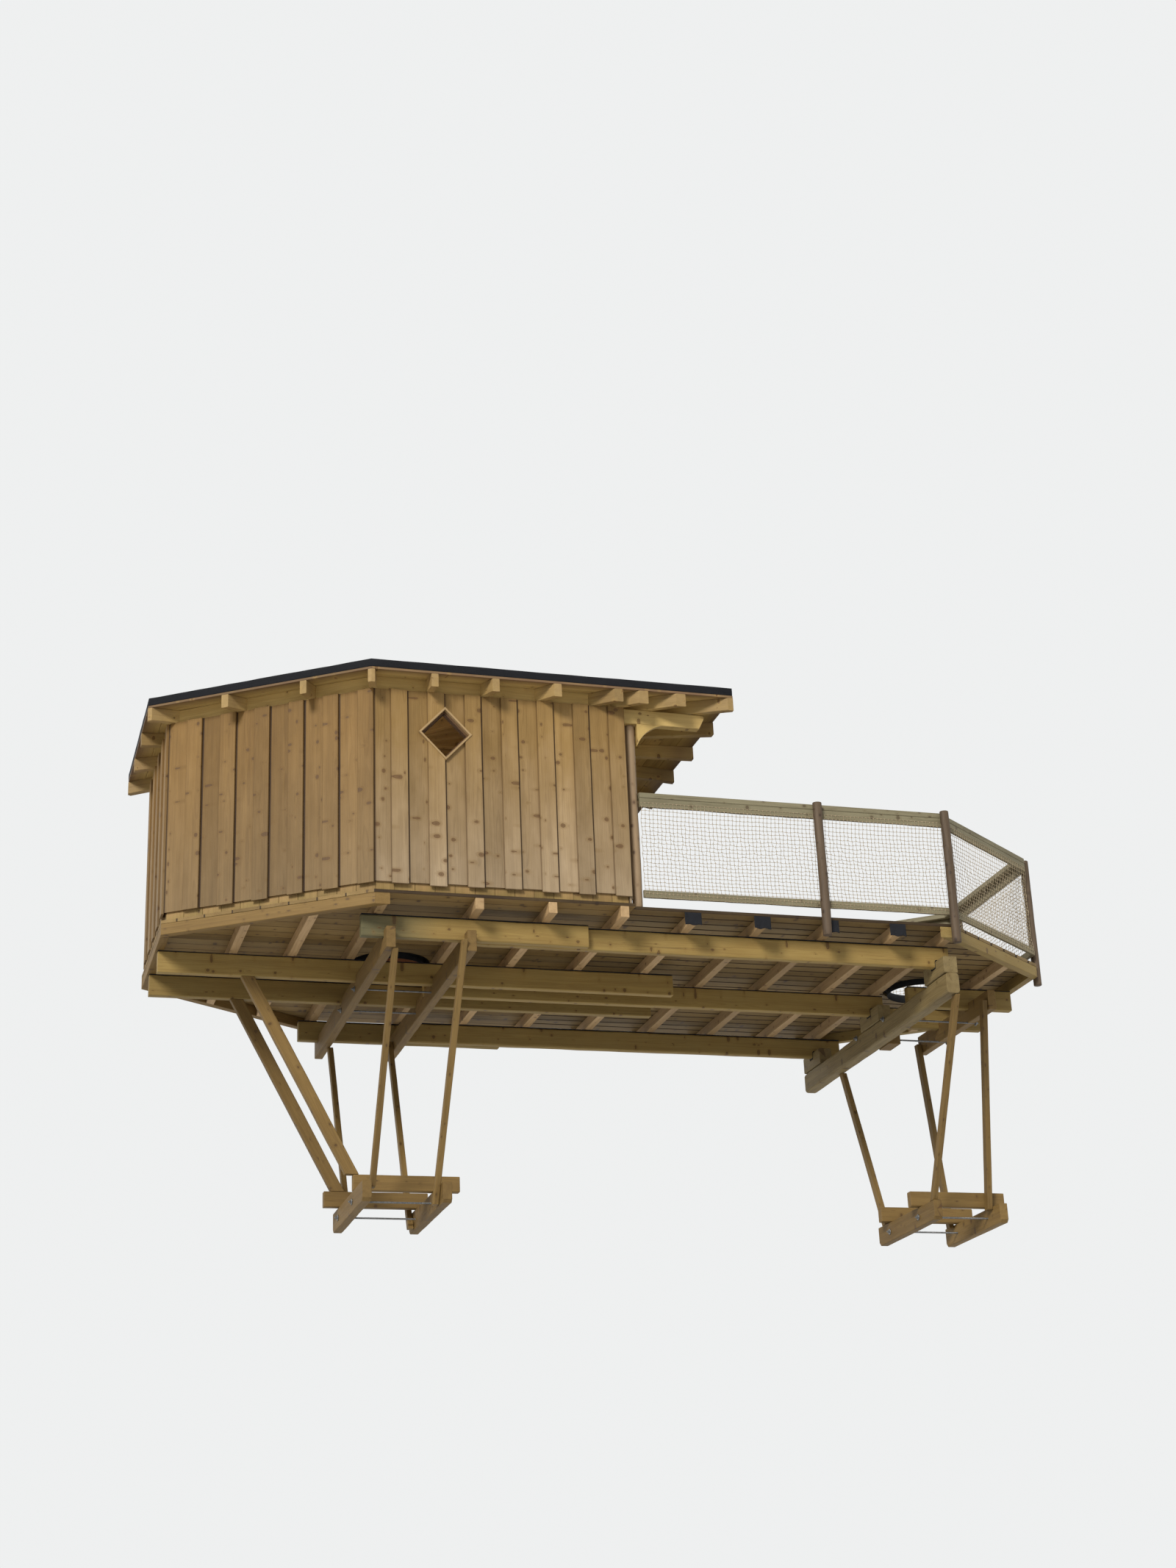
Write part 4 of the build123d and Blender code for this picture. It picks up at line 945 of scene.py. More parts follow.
def strips(form, ring, trunk, width, gap, seed, wave, fade):
    """Floor boards along X over a convex outline, cut to it and round the trunk's circle. A board's ends are
    x(y) on the outline, or trunk -+ sqrt(radius^2 - (y - middle)^2) at the trunk."""
    y0, y1 = ring[:, 1].min(), ring[:, 1].max()

    def reach(u, way):
        """The outline's x where y is -u, on its left side (way -1) or its right side (way 1)."""
        y = np.clip(-u, y0, y1)
        value = np.full(y.shape, 99.0 * way)
        for k in range(6):
            a, d = ring[k], ring[(k + 1) % 6] - ring[k]
            if d[1] * way > 1e-9:
                value = way * np.minimum(way * value, way * (a[0] + (y - a[1]) * d[0] / d[1]))
        return value

    def bow(u, way):
        return trunk + way * np.sqrt(np.clip(TRUNK_HOLE ** 2 - (u + TRUNK_Y) ** 2, 0, None))

    count = int(round((y1 - y0) / width))
    lines = np.linspace(y0, y1, count + 1)
    splits = [-y for y in sorted({round(p[1], 4) for p in ring})] + [-TRUNK_Y]
    tips = [-TRUNK_Y - TRUNK_HOLE, -TRUNK_Y + TRUNK_HOLE]
    # edges=0.9 paints shade along each board's sides, standing in for the shade in the gaps.
    look = dict(bevel=0.0035 if gap > 0.004 else 0.0025, wave=wave, fade=lambda points: fade, pace=0.4, edges=0.9)
    for k in range(count):
        a, b = lines[k] + (gap / 2 if k else 0.0), lines[k + 1] - (gap / 2 if k < count - 1 else 0.0)
        place = (form, (0.0, 0.0, FLOOR - FLOOR_THICK), (1.0, 0.0, 0.0), (0.0, -1.0, 0.0), (-b, -a),
                 (-FLOOR_THICK, 0.0))
        if abs(np.clip(TRUNK_Y, a, b) - TRUNK_Y) < TRUNK_HOLE:
            board(*place, lambda u, v: reach(u, -1), lambda u, v: bow(u, -1), seed + k, splits + tips, **look)
            board(*place, lambda u, v: bow(u, 1), lambda u, v: reach(u, 1), seed + 500 + k, splits + tips, **look)
        else:
            board(*place, lambda u, v: reach(u, -1), lambda u, v: reach(u, 1), seed + k, splits, **look)


class TREEHOUSE_OT_floors(bpy.types.Operator):
    """Lays the boards of the cabin's floor and of the open deck"""

    bl_idname = "treehouse.floors"
    bl_label = "Floors"

    def execute(self, context):
        look, finish = context.scene.tree_house_look, materials()
        for node, ring, trunk, gap, seed, wave, fade in (
                ("cabin_floor", moved(CABIN, [BOARD] * 6), TRUNKS[0], 0.001, 5000, 0.0, 0.15),
                ("deck_floor", DECK, TRUNKS[1], look.deck_gap, 6000, 0.002, 0.35)):
            form = Form()
            strips(form, ring, trunk, look.floor_board, gap, seed, wave, fade)
            form.make(node + "_boards", "spruce_board", finish["floor"], (node,))
        return {"FINISHED"}


class TREEHOUSE_OT_beams(bpy.types.Operator):
    """Saws the long beams, joists and rim beams under the platform"""

    bl_idname = "treehouse.beams"
    bl_label = "Beams and joists"

    def execute(self, context):
        saw(materials(),
            ("front_beam_left", 10, "beam", 0.008, 0.010, 0.004, (1.0, 0.75, 0.1, 0.1, 0.1, 0.1, 0.1)),
            ("front_beam_right", 20, "beam", 0.008, 0.012, 0.004, 0.1),
            ("back_beam_left", 30, "beam", 0.008, 0.010, 0.004, 0.3),
            ("back_beam_right", 40, "beam", 0.008, 0.012, 0.004, 0.2),
            ("front_clamp_beam", 50, "beam", 0.006, 0.006, 0.003, 0.1),
            ("back_clamp_beam", 60, "beam", 0.006, 0.006, 0.003, 0.2),
            ("middle_beam", 70, "beam", 0.006, 0.004, 0.003, 0.1),
            ("end_bearers", 80, "beam", 0.006, 0.004, 0.003, 0.2),
            ("cabin_joists", 90, "joist", 0.004, 0.0, 0.002, 0.1),
            ("deck_joists", 110, "joist", 0.004, 0.0, 0.002, 0.3),
            ("cabin_rim_beams", 130, "lower", 0.005, 0.0, 0.002, 0.05),
            ("deck_rim_beams", 140, "beam", 0.005, 0.0, 0.002, 0.3))
        return {"FINISHED"}


class TREEHOUSE_OT_clamps(bpy.types.Operator):
    """Cuts the clamp timbers, struts, cross beams, saddles and blocks round the trunks"""

    bl_idname = "treehouse.clamps"
    bl_label = "Clamps and struts"

    def execute(self, context):
        finish = materials()
        saw(finish,
            ("lower_clamp_timbers", 210, "lower", 0.006, 0.006, 0.003, 0.2),
            ("left_tree_struts", 220, "lower", 0.004, 0.0, 0.002, 0.25),
            ("right_tree_struts", 230, "lower", 0.004, 0.0, 0.002, 0.25),
            ("side_struts", 240, "lower", 0.005, 0.005, 0.003, 0.15),
            ("bearing_packing", 250, "lower", 0.004, 0.0, 0.002, 0.2))
        whole, cross_z, bearing_x = (-1.432, 2.032), (1.639, 1.824), (4.6, 4.73)
        seats = [(a, a + 0.08, 1.764) for a in (-1.32, -0.08, 0.26, 0.6, 1.84)]
        cross, short, bearing, saddle, liner, blocks = (Form() for _ in range(6))
        along_y(cross, (-0.355, -0.275), whole, cross_z, seats[:2] + seats[3:], 300)
        along_y(cross, (0.325, 0.405), whole, cross_z, seats, 301)
        along_y(short, (5.45, 5.53), (-0.5, 1.1), cross_z, [seats[1], seats[3]], 302)
        along_y(bearing, bearing_x, whole, (1.474, 1.664), [], 303, fade=0.3, wane=0.026, wave=0.007)
        for number, a in enumerate((-1.24, 0.26, 1.76)):
            y0, y1 = a - 0.008, a + 0.088
            along_y(saddle, bearing_x, (y0 - 0.170, y1 + 0.170), (1.664, 1.819), [(y0, y1, 1.756)], 310 + number,
                    fade=0.35)
            self.lining(liner, a, a + 0.08, 340 + number)
        for number, (x, front, drop) in enumerate((
                (-0.34, 0.79, 0.0), (0.34, 0.79, 0.0), (4.81, 0.68, 0.037), (5.49, 0.59, 0.037))):
            y0, y1 = TRUNK_Y - front, TRUNK_Y + 0.59
            top, bottom = -0.069 - drop, -0.244 - drop
            length = y1 - y0
            beam(blocks, (x, y0, 0.0), (x, y1, 0.0), UP, 0.08, bottom, top, 320 + number,
                 stations=[(0.0, bottom + 0.025, top), (0.025, bottom, top), (length - 0.025, bottom, top),
                           (length, bottom + 0.025, top)], wane=0.005, wave=0.003, fade=0.2)
        for form, name, slot, skin, node in (
                (cross, "left_cross_beams_timber", "spruce_beam", "lower", "left_tree_cross_beams"),
                (short, "right_cross_beam_timber", "spruce_beam", "lower", "right_tree_cross_beam"),
                (bearing, "bearing_beam_timber", "spruce_beam", "hewn", "bearing_beam"),
                (saddle, "bearing_saddles_timber", "spruce_beam", "hewn", "bearing_saddles"),
                (liner, "saddle_liner_sheets", "black_rubber", "rubber", "saddle_liners"),
                (blocks, "lower_clamp_blocks_timber", "spruce_beam", "lower", "lower_clamp_blocks")):
            form.make(name, slot, finish[skin], (node,))
        return {"FINISHED"}

    def lining(self, form, a, b, seed):
        """A rubber sheet down one cheek, over the seat and up the other, with a slack fold at both tops."""
        rng = np.random.default_rng(seed)
        upper = ((-0.030, 1.8215), (-0.012, 1.8225), (-0.0015, 1.816), (-0.0005, 1.79), (-0.0005, 1.768),
                 (0.006, 1.7635))
        lower = ((-0.030, 1.8195), (-0.012, 1.8192), (-0.0075, 1.812), (-0.0075, 1.79), (-0.0075, 1.760),
                 (-0.002, 1.7565))
        inner, outer = ([(a + y, z) for y, z in half] + [(b - y, z) for y, z in half[::-1]]
                        for half in (upper, lower))
        ring = np.array(inner + outer[::-1])
        x = np.concatenate([[4.6], np.linspace(4.602, 4.728, 9), [4.73]])[:, None]
        lift = ripple(x[:, 0], rng, (0.05, 0.11, 0.2))[:, None] * 0.004 * (ring[:, 1] > 1.815)
        points = np.stack([x + 0 * lift, ring[:, 0] + 0 * lift, ring[:, 1] + lift], -1)[:, ::-1]
        form.tube(points, points, 0.5, caps="strip")


class TREEHOUSE_OT_roof(bpy.types.Operator):
    """Covers the roof with boards parallel to the eaves, felt, a wrapped kerb and blocking between the rafters"""

    bl_idname = "treehouse.roof"
    bl_label = "Roof"

    def execute(self, context):
        look, finish = context.scene.tree_house_look, materials()
        self.rafters(finish)
        self.boards(look, finish)
        self.kerb(finish)
        self.sheet(finish)
        self.blocking(finish)
        return {"FINISHED"}

    def plank(self, form, target, start, seed):
        """A rafter on edge: level = roof(x, y) - depth, from its start to where share = 1 under the eave."""
        rng = np.random.default_rng(seed)
        d = unit(target - APEX)
        p = np.array([-d[1], d[0]])
        h, b = RAFTER_WIDTH / 2, 0.004
        u = np.array([h, h - b, 0.0, b - h, -h, -h, b - h, 0.0, h - b, h])
        v = np.array([-b, 0.0, 0.0, 0.0, -b, b, 0.0, 0.0, 0.0, b]) - np.repeat([0.0, RAFTER_DEPTH], 5)
        forward = ROOF_NORMALS @ d
        shift = u[:, None] * (ROOF_NORMALS @ p)[None, :]
        end = np.where(forward > 0.05, (ROOF_REACH - shift) / np.where(forward > 0.05, forward, 1.0), 99.0).min(1)
        s = np.concatenate([[0.0, 0.002], np.linspace(0.05, 0.95, 9), [0.998, 1.0]])[:, None]
        distance = start + s * (end - SEAM - start)
        x = APEX[0] + distance * d[0] + u * p[0]
        y = APEX[1] + distance * d[1] + u * p[1]
        sag = 0.002 * ripple(distance[:, :1], rng) * (v < -0.06)
        z = roof_level(x, y) - 0.0004 + v + sag
        grain = np.stack([distance + rng.uniform(0, GRAIN_RUN), u + 0 * s + rng.uniform(-0.02, 0.02),
                          v + 0 * s + 0.06 + rng.uniform(-0.03, 0.03)], -1)
        form.tube(np.stack([x, y, z], -1), grain, rng.uniform(0, 1), 0.1 + 0.5 * (s > 0.9) + 0 * u)

    def rafters(self, finish):
        def edge(index, share):
            return ROOF[index] + (ROOF[(index + 1) % 6] - ROOF[index]) * share

        full, cut, hip = 0.43, 1.15, 0.34
        jobs = []
        for share, start in ((0.17, full), (0.335, full), (0.505, full), (0.675, full), (0.745, cut), (0.85, cut)):
            jobs += [(edge(0, share), start), (edge(2, 1 - share), start)]
        for share in (0.3, 0.65):
            jobs += [(edge(5, 1 - share), full), (edge(3, share), full)]
        jobs += [(edge(4, share), full) for share in (0.33, 0.67)]
        jobs += [(edge(1, share), start) for share, start in (
            (0.14, cut), (0.28, full), (0.42, full), (0.58, full), (0.72, full), (0.86, cut))]
        for name, seed, ends in (("rafters", 820, jobs), ("hip_rafters", 800, [(corner, hip) for corner in ROOF])):
            form = Form()
            for k, (target, start) in enumerate(ends):
                self.plank(form, target, start, seed + k)
            form.make(name + "_timber", "spruce_beam", finish["frieze"], (name,))

    def boards(self, look, finish):
        """Each board's point is apex + share * (edge point - apex), with the roof's height at that share."""
        form = Form()
        hub, bevel = 0.12, 0.0015
        for index in range(6):
            a, b = ROOF[index], ROOF[(index + 1) % 6]
            length, reach = np.linalg.norm(b - a), ROOF_REACH[index]
            count = int(round(reach / look.roof_board))
            for k in range(count):
                outer, inner = 1 - k / count, 1 - (k + 1) / count
                if inner * reach < hub:
                    break
                rng = np.random.default_rng(900 + 40 * index + k)
                gap = bevel / reach
                t = outer - gap - (outer - inner - 2 * gap) * np.array([0.0, 0.03, 0.97, 1.0, 1.0, 0.97, 0.03, 0.0])
                h = np.array([bevel, 0.0, 0.0, bevel, BOARD - bevel, BOARD, BOARD, BOARD - bevel])
                if k == 0:
                    t = np.minimum(t, 1.0)
                across = (t - outer) * reach
                ends = SEAM / (length * max(outer, 0.1))
                share = np.linspace(ends, 1 - ends, max(3, int(length * outer / 0.25) + 2))[:, None]
                place = a + share[..., None] * (b - a)
                flat = clear_of_trunk(APEX + t[None, :, None] * (place - APEX), 0.3)
                z = EAVE + ROOF_RISE * (1 - np.broadcast_to(t, flat.shape[:2])) + h
                z = np.minimum(z, roof_level(flat[..., 0], flat[..., 1]) + h)
                run = share * length * outer
                grain = np.stack([run + rng.uniform(0, GRAIN_RUN) + 0 * t,
                                  across + 0 * share - rng.uniform(-0.2, 0.05),
                                  h + 0 * share + pith_depth(rng, 0.03, 0.08)], -1)
                fade = np.where(t > 0.995, 0.9, 0.12) if k == 0 else np.full(8, 0.12)
                form.tube(raised(flat, z), grain, rng.uniform(0, 1), fade + 0 * share, caps="strip")
        form.make("roof_board_courses", "spruce_board", finish["frieze"], ("roof_boards",))

    def around(self, offset, per_edge):
        """Places round the eaves at a distance inside them, from corner to corner on the mitres."""
        ring = moved(ROOF, [-offset] * 6)
        share = np.linspace(0, 1, per_edge + 1)[:-1, None]
        return np.concatenate([ring[k] + share * (ring[(k + 1) % 6] - ring[k]) for k in range(6)])

    def kerb(self, finish):
        """A felt-wrapped kerb: a rounded section carried round the eaves, pressed in by a slow ripple."""
        form = Form()
        offset = (0.0005, 0.0, 0.0, 0.0005, 0.004, 0.012, 0.020, 0.0235, 0.024, 0.024, 0.0235, 0.020, 0.012, 0.004)
        level = np.array([0.006, 0.020, 0.045, 0.068, 0.0735, 0.0745, 0.0735, 0.068, 0.045, 0.020, 0.006, 0.0, 0.0,
                          0.0])
        half = 0.012
        plan = np.stack([self.around(inwards, 22) for inwards in offset], 1)
        centre = self.around(half, 22)[:, None]
        rng = np.random.default_rng(77)
        turn = np.linspace(0, 1, len(plan), endpoint=False)
        waves = sum(np.sin(TURN * n * turn + phase(rng)) for n in (9, 17, 31, 46)) / 8 + 0.5
        press = 0.004 * waves[:, None] * (np.abs(level - 0.037) < 0.034)
        flat = centre + (plan - centre) * (1 - press / half)[..., None]
        drop = 0.005 * np.roll(waves, 5)[:, None] * (level > 0.06)
        z = EAVE + BOARD + 0.0005 + level - drop
        slope = ROOF_RISE * (1 - roof_share(flat[..., 0], flat[..., 1]))
        points = raised(flat, np.where(level < 0.03, z + slope, z))[:, ::-1]
        form.tube(points, points, 0.5, ring=True, smooth=True)
        form.make("eave_kerb_wrap", "black_felt", finish["roof_felt"], ("eave_kerb",))

    def sheet(self, finish):
        """Roof felt from the kerb up to the trunk in lapped courses, 8 mm thick with slight puckers."""
        form = Form()
        rim = self.around(0.0245, 24)
        out = np.array([1.0, 0.985, 0.9, 0.8, 0.7, 0.602, 0.598, 0.5, 0.4, 0.302, 0.298, 0.2, 0.1, 0.02])
        lift = np.array([0.0062, 0.0072, 0.0065, 0.0065, 0.0068, 0.0080, 0.0055, 0.006, 0.0066, 0.0078, 0.0055, 0.006,
                         0.0066, 0.0070])
        t = np.concatenate([out, out[::-1]])
        h = np.concatenate([lift, np.full(len(out), SEAM)])
        flat = APEX + t[None, :, None] * (rim[:, None] - APEX)
        flat = clear_of_trunk(flat, 0.3005 + 0.012 * (1 - h / 0.008))
        z = roof_level(flat[..., 0], flat[..., 1], EAVE + BOARD) + h
        pucker = 0.0012 * np.sin(flat[..., 0] * 9.1 + 2 * np.sin(flat[..., 1] * 5)) * np.sin(flat[..., 1] * 7.7)
        points = raised(flat, z + np.where(h > 0.004, pucker - 0.0012, 0.0))
        form.tube(points, points, 0.5, ring=True)
        form.make("roof_felt_sheets", "black_felt", finish["roof_felt"], ("roof_felt",))

    def blocking(self, finish):
        """Level boards on the walls that close the room between the rafters up to the roof boards."""
        form = Form()
        for index in range(6):
            start, along, outward, length = side_of(CABIN, index)
            places = np.linspace(0, length, max(3, int(length / 0.3)))[:, None]
            u = np.array([0.0, 0.024, 0.024, 0.0])
            rise = np.array([0.0008, 0.0008, RAFTER_DEPTH - 0.001, RAFTER_DEPTH - 0.001])
            x, y = (start[k] - 0.046 * outward[k] + places * along[k] + u * outward[k] for k in (0, 1))
            z = roof_level(x, y, EAVE - RAFTER_DEPTH) + rise
            grain = np.stack([places + 7.3 * index + 0 * u, rise - 0.02 + 0 * z, u + 0.05 + 0 * z], -1)
            form.tube(np.stack([x, y, z], -1), grain, 0.4 + 0.05 * index, 0.1)
        form.make("eave_blocking", "spruce_board", finish["frieze"])


def pole(form, middle, z_range, radii, seed, swell):
    """A debarked natural pole: radius = R * (1 - swell * (lumps of height and angle)), round a line that
    wanders with height inside the square post."""
    rng = np.random.default_rng(seed)
    z = np.concatenate([[z_range[0]], np.linspace(z_range[0] + 0.003, z_range[1] - 0.003, 44), [z_range[1]]])[:, None]
    angle = np.linspace(0, TURN, 20, endpoint=False)[None, :]
    lumps = sum(np.sin(n * angle + TURN * z / w + phase(rng)) * a
                for n, w, a in ((1, 1.3, 0.5), (2, 0.9, 0.35), (3, 0.45, 0.22), (2, 0.31, 0.15), (5, 0.2, 0.08)))
    for _ in range(5):
        knot_z, knot_a = rng.uniform(*z_range), phase(rng)
        gap = (angle - knot_a + np.pi) % TURN - np.pi
        lumps = lumps + 0.9 * np.exp(-((z - knot_z) / 0.035) ** 2 - (gap / 0.45) ** 2)
    lumps = np.clip((lumps - lumps.mean()) / (2.2 * lumps.std()), -1, 1)
    size = 1 - swell * (0.5 - 0.5 * lumps)
    size[[0, -1]] *= 0.94
    wander = swell * 0.35 * np.sin(TURN * z / 1.7 + phase(rng))
    x = middle[0] + radii[0] * (size * np.cos(angle) * (1 - 0.3 * swell) + wander)
    y = middle[1] + radii[1] * (size * np.sin(angle) * (1 - 0.3 * swell) + 0.6 * wander)
    points = np.stack([x, y, np.broadcast_to(z, x.shape)], -1)
    grain = np.stack([points[..., 2] + rng.uniform(0, GRAIN_RUN), points[..., 0] - middle[0] + 0.006,
                      points[..., 1] - middle[1] - 0.004], -1)
    form.tube(points, grain, rng.uniform(0.2, 0.8), 0.35, smooth=True)


class TREEHOUSE_OT_posts(bpy.types.Operator):
    """Turns the posts of the railing and the porch into natural poles and fits the plates and braces"""

    bl_idname = "treehouse.posts"
    bl_label = "Posts, plates and braces"

    def execute(self, context):
        look, finish = context.scene.tree_house_look, materials()
        for node, name, skin in (("rail_posts", "rail_poles", "pole"), ("porch_posts", "porch_poles", "porch")):
            form = Form()
            for number, (points, _) in enumerate(solids(node)):
                low, high = points.min(0), points.max(0)
                pole(form, (low + high)[:2] / 2, (low[2], high[2]), (high - low)[:2] / 2,
                     400 + 10 * len(node) + number, look.pole_swell)
            form.make(name, "weathered_wood", finish[skin], (node,))
        plates = Form()
        low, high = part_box("top_plates")
        for number, middle in enumerate((-1.488, 2.088)):
            u = np.array([0.040, 0.036, -0.036, -0.040, -0.040, -0.036, 0.036, 0.040])
            top = np.array([0.0, 1.0, 1.0, 0.0, 0.0, 0.0, 0.0, 0.0])
            splay = high[0] - 0.045
            x = np.array([low[0], low[0] + 0.3, 0.2, 0.7, 1.2, 1.7, 2.0, splay, high[0] - 0.002, high[0]])
            foot = PLATE_FOOT + np.clip((x - splay) * 2.0, 0, 0.09)
            y = middle + u
            xx, yy = np.meshgrid(x, y, indexing="ij")
            roof = roof_level(xx, yy, EAVE - RAFTER_DEPTH) - SEAM
            z = np.where(np.arange(8) < 4, roof - 0.004 * (1 - top), foot[:, None] + 0.004 * (np.abs(u) > 0.038))
            grain = np.stack([xx + 9.0 * number, yy - y.mean() + 0.01, z - 3.84], -1)
            plates.tube(np.stack([xx, yy, z], -1)[:, ::-1], grain[:, ::-1], 0.5, 0.1)
        plates.make("top_plates_timber", "spruce_beam", finish["frieze"], ("top_plates",))
        carved("porch_braces_timber", "porch_braces", finish["frieze"], (0.75, 0.0, 0.66), 0.003)
        return {"FINISHED"}


class TREEHOUSE_OT_rails(bpy.types.Operator):
    """Puts the capped top rails and the lower rails round the deck"""

    bl_idname = "treehouse.rails"
    bl_label = "Rails"

    def execute(self, context):
        finish = materials()
        top, lower = Form(), Form()
        for index in range(5):
            place = side_of(RAIL_LINE, index)
            lean = [mitre(RAIL_LINE, k) if 0 < k < 5 else 0.0 for k in (index, index + 1)]
            seed = 700 + 10 * index
            self.rail(top, place, lean, (RAIL_TOP - CAP_THICK, RAIL_TOP), CAP_WIDTH, seed, 0.002)
            self.rail(top, place, lean, (RAIL_TOP - CAP_THICK - RAIL_BOARD, RAIL_TOP - CAP_THICK), RAIL_THICK,
                      seed + 3, 0.010)
            self.rail(lower, place, lean, LOWER_RAIL, RAIL_THICK, seed + 6, 0.008)
        top.make("top_rails_timber", "weathered_wood", finish["rail"], ("top_rails",))
        lower.make("lower_rails_timber", "weathered_wood", finish["rail"], ("lower_rails",))
        return {"FINISHED"}

    def rail(self, form, place, lean, z_range, thick, seed, waney):
        """A rail from its outer line inwards, mitred on plan; its lower edge rises by a slow ripple of s."""
        origin, along, outward, length = place
        rng = np.random.default_rng(seed)
        s = np.linspace(0, 1, max(6, int(length / 0.07)))[:, None]
        depth = np.array([-0.003, 0.0, 0.0, -0.003, -thick + 0.003, -thick, -thick, -thick + 0.003])
        z0, z1 = z_range
        tall = np.array([z0, z0 + 0.004, z1 - 0.004, z1, z1, z1 - 0.004, z0 + 0.004, z0])
        run = s * length + depth * (-lean[0] * (1 - s) + lean[1] * s)
        edge = waney * (0.6 * ripple(run, rng, (0.23, 0.6, 1.4)) + 0.4 * ripple(run, rng, (0.9, 2.0, 3.0)))
        low = tall < (z0 + z1) / 2
        z = tall + edge * low - 0.25 * waney * ripple(run, rng, (0.4, 1.1, 2.0)) * ~low
        inset = depth - np.sign(depth + thick / 2) * 0.0015 * ripple(run, rng)
        x, y = (origin[k] + run * along[k] + inset * outward[k] for k in (0, 1))
        grain = np.stack([run + rng.uniform(0, GRAIN_RUN), z - sum(z_range) / 2 - rng.uniform(-0.02, 0.02),
                          depth + 0 * s + pith_depth(rng, 0.04, 0.08)], -1)
        form.tube(np.stack([x, y, z], -1), grain, rng.uniform(0.2, 0.8), 0.45)


class TREEHOUSE_OT_nets(bpy.types.Operator):
    """Knots the netting between the rails, with square meshes that sag a little"""

    bl_idname = "treehouse.nets"
    bl_label = "Netting"

    def execute(self, context):
        look, finish = context.scene.tree_house_look, materials()
        z0, z1 = LOWER_RAIL[0] + 0.004, RAIL_TOP - CAP_THICK - 0.5 * RAIL_BOARD
        form = Form()
        for index in range(5):
            a, along, outward, length = side_of(RAIL_LINE, index)
            wide = max(6, int(round((length - 0.03) / look.net_mesh)))
            high = int(round((z1 - z0) / look.net_mesh))
            rng = np.random.default_rng(1500 + index)
            u = np.linspace(0, wide, 2 * wide + 1)
            v = np.linspace(0, high, 2 * high + 1)
            jitter = rng.uniform(-1, 1, (3, wide + 1, high + 1))

            def place(i, j):
                """The net's surface: knots (i, j) pulled down by sag * sin(pi i / n) with a little of chance."""
                fi = np.floor(np.minimum(i, wide - 1e-6)).astype(int)
                fj = np.floor(np.minimum(j, high - 1e-6)).astype(int)
                du, dv = i - fi, j - fj
                pull = sum(w * jitter[:, x, y] for w, x, y in (
                    ((1 - du) * (1 - dv), fi, fj), (du * (1 - dv), fi + 1, fj),
                    ((1 - du) * dv, fi, fj + 1), (du * dv, fi + 1, fj + 1)))
                hold = np.sin(np.pi * j / high)
                slack = 0.006 * np.sin(np.pi * du) * hold
                s = 0.012 + (length - 0.024) * i / wide + pull[0] * 0.007 * hold
                z = z0 + 0.001 + (z1 - z0 - 0.002) * j / high + pull[1] * 0.007 * hold - slack
                z = z - 0.016 * hold * np.sin(np.pi * i / wide * max(1, round(length / 1.6))) ** 2
                out = 0.002 - 0.016 * np.clip(3.2 * hold - 0.75, 0, 1) + pull[2] * 0.004 * hold ** 2
                x, y = (a[k] + s * along[k] + out * outward[k] for k in (0, 1))
                return np.stack([x, y, z], -1)

            rows_i, rows_j = np.meshgrid(u, np.arange(high + 1), indexing="ij")
            cols_j, cols_i = np.meshgrid(v, np.arange(wide + 1), indexing="ij")
            self.cords(form, place(rows_i, rows_j), look.net_cord, outward, rng)
            self.cords(form, place(cols_i, cols_j), look.net_cord, outward, rng)
        form.make("rail_netting", "cord_net", finish["cord"], ("rail_nets",))
        return {"FINISHED"}

    def cords(self, form, lines, radius, outward, rng):
        """Cords along the first index of a grid: a circle of three points round each line, thicker at its knots."""
        points = np.swapaxes(lines, 0, 1)
        tangent = np.gradient(points, axis=1)
        tangent /= np.linalg.norm(tangent, axis=-1, keepdims=True)
        out = np.array([outward[0], outward[1], 0.0])
        side = np.cross(tangent, out)
        side /= np.linalg.norm(side, axis=-1, keepdims=True)
        angle = np.arange(3) * TURN / 3
        thick = radius * (1 + 0.9 * (np.arange(points.shape[1]) % 2 == 0))[None, :, None, None]
        ring = points[:, :, None] + thick * (np.cos(angle)[:, None] * side[:, :, None] + np.sin(angle)[:, None] * out)
        shape = ring.shape[:3]
        index = np.arange(np.prod(shape)).reshape(shape)
        ends = np.concatenate([index[:, 0, ::-1], index[:, -1]])
        run = np.arange(shape[1])[None, :, None] * 0.018 + rng.uniform(0, 20, (shape[0], 1, 1))
        grain = np.stack([np.broadcast_to(run, shape), np.broadcast_to(angle, shape), np.zeros(shape)], -1)
        form.add(ring, [band(index[:, :-1], index[:, 1:])[:, ::-1], ends[:, ::-1]], grain, 0.5, 0.0, True)


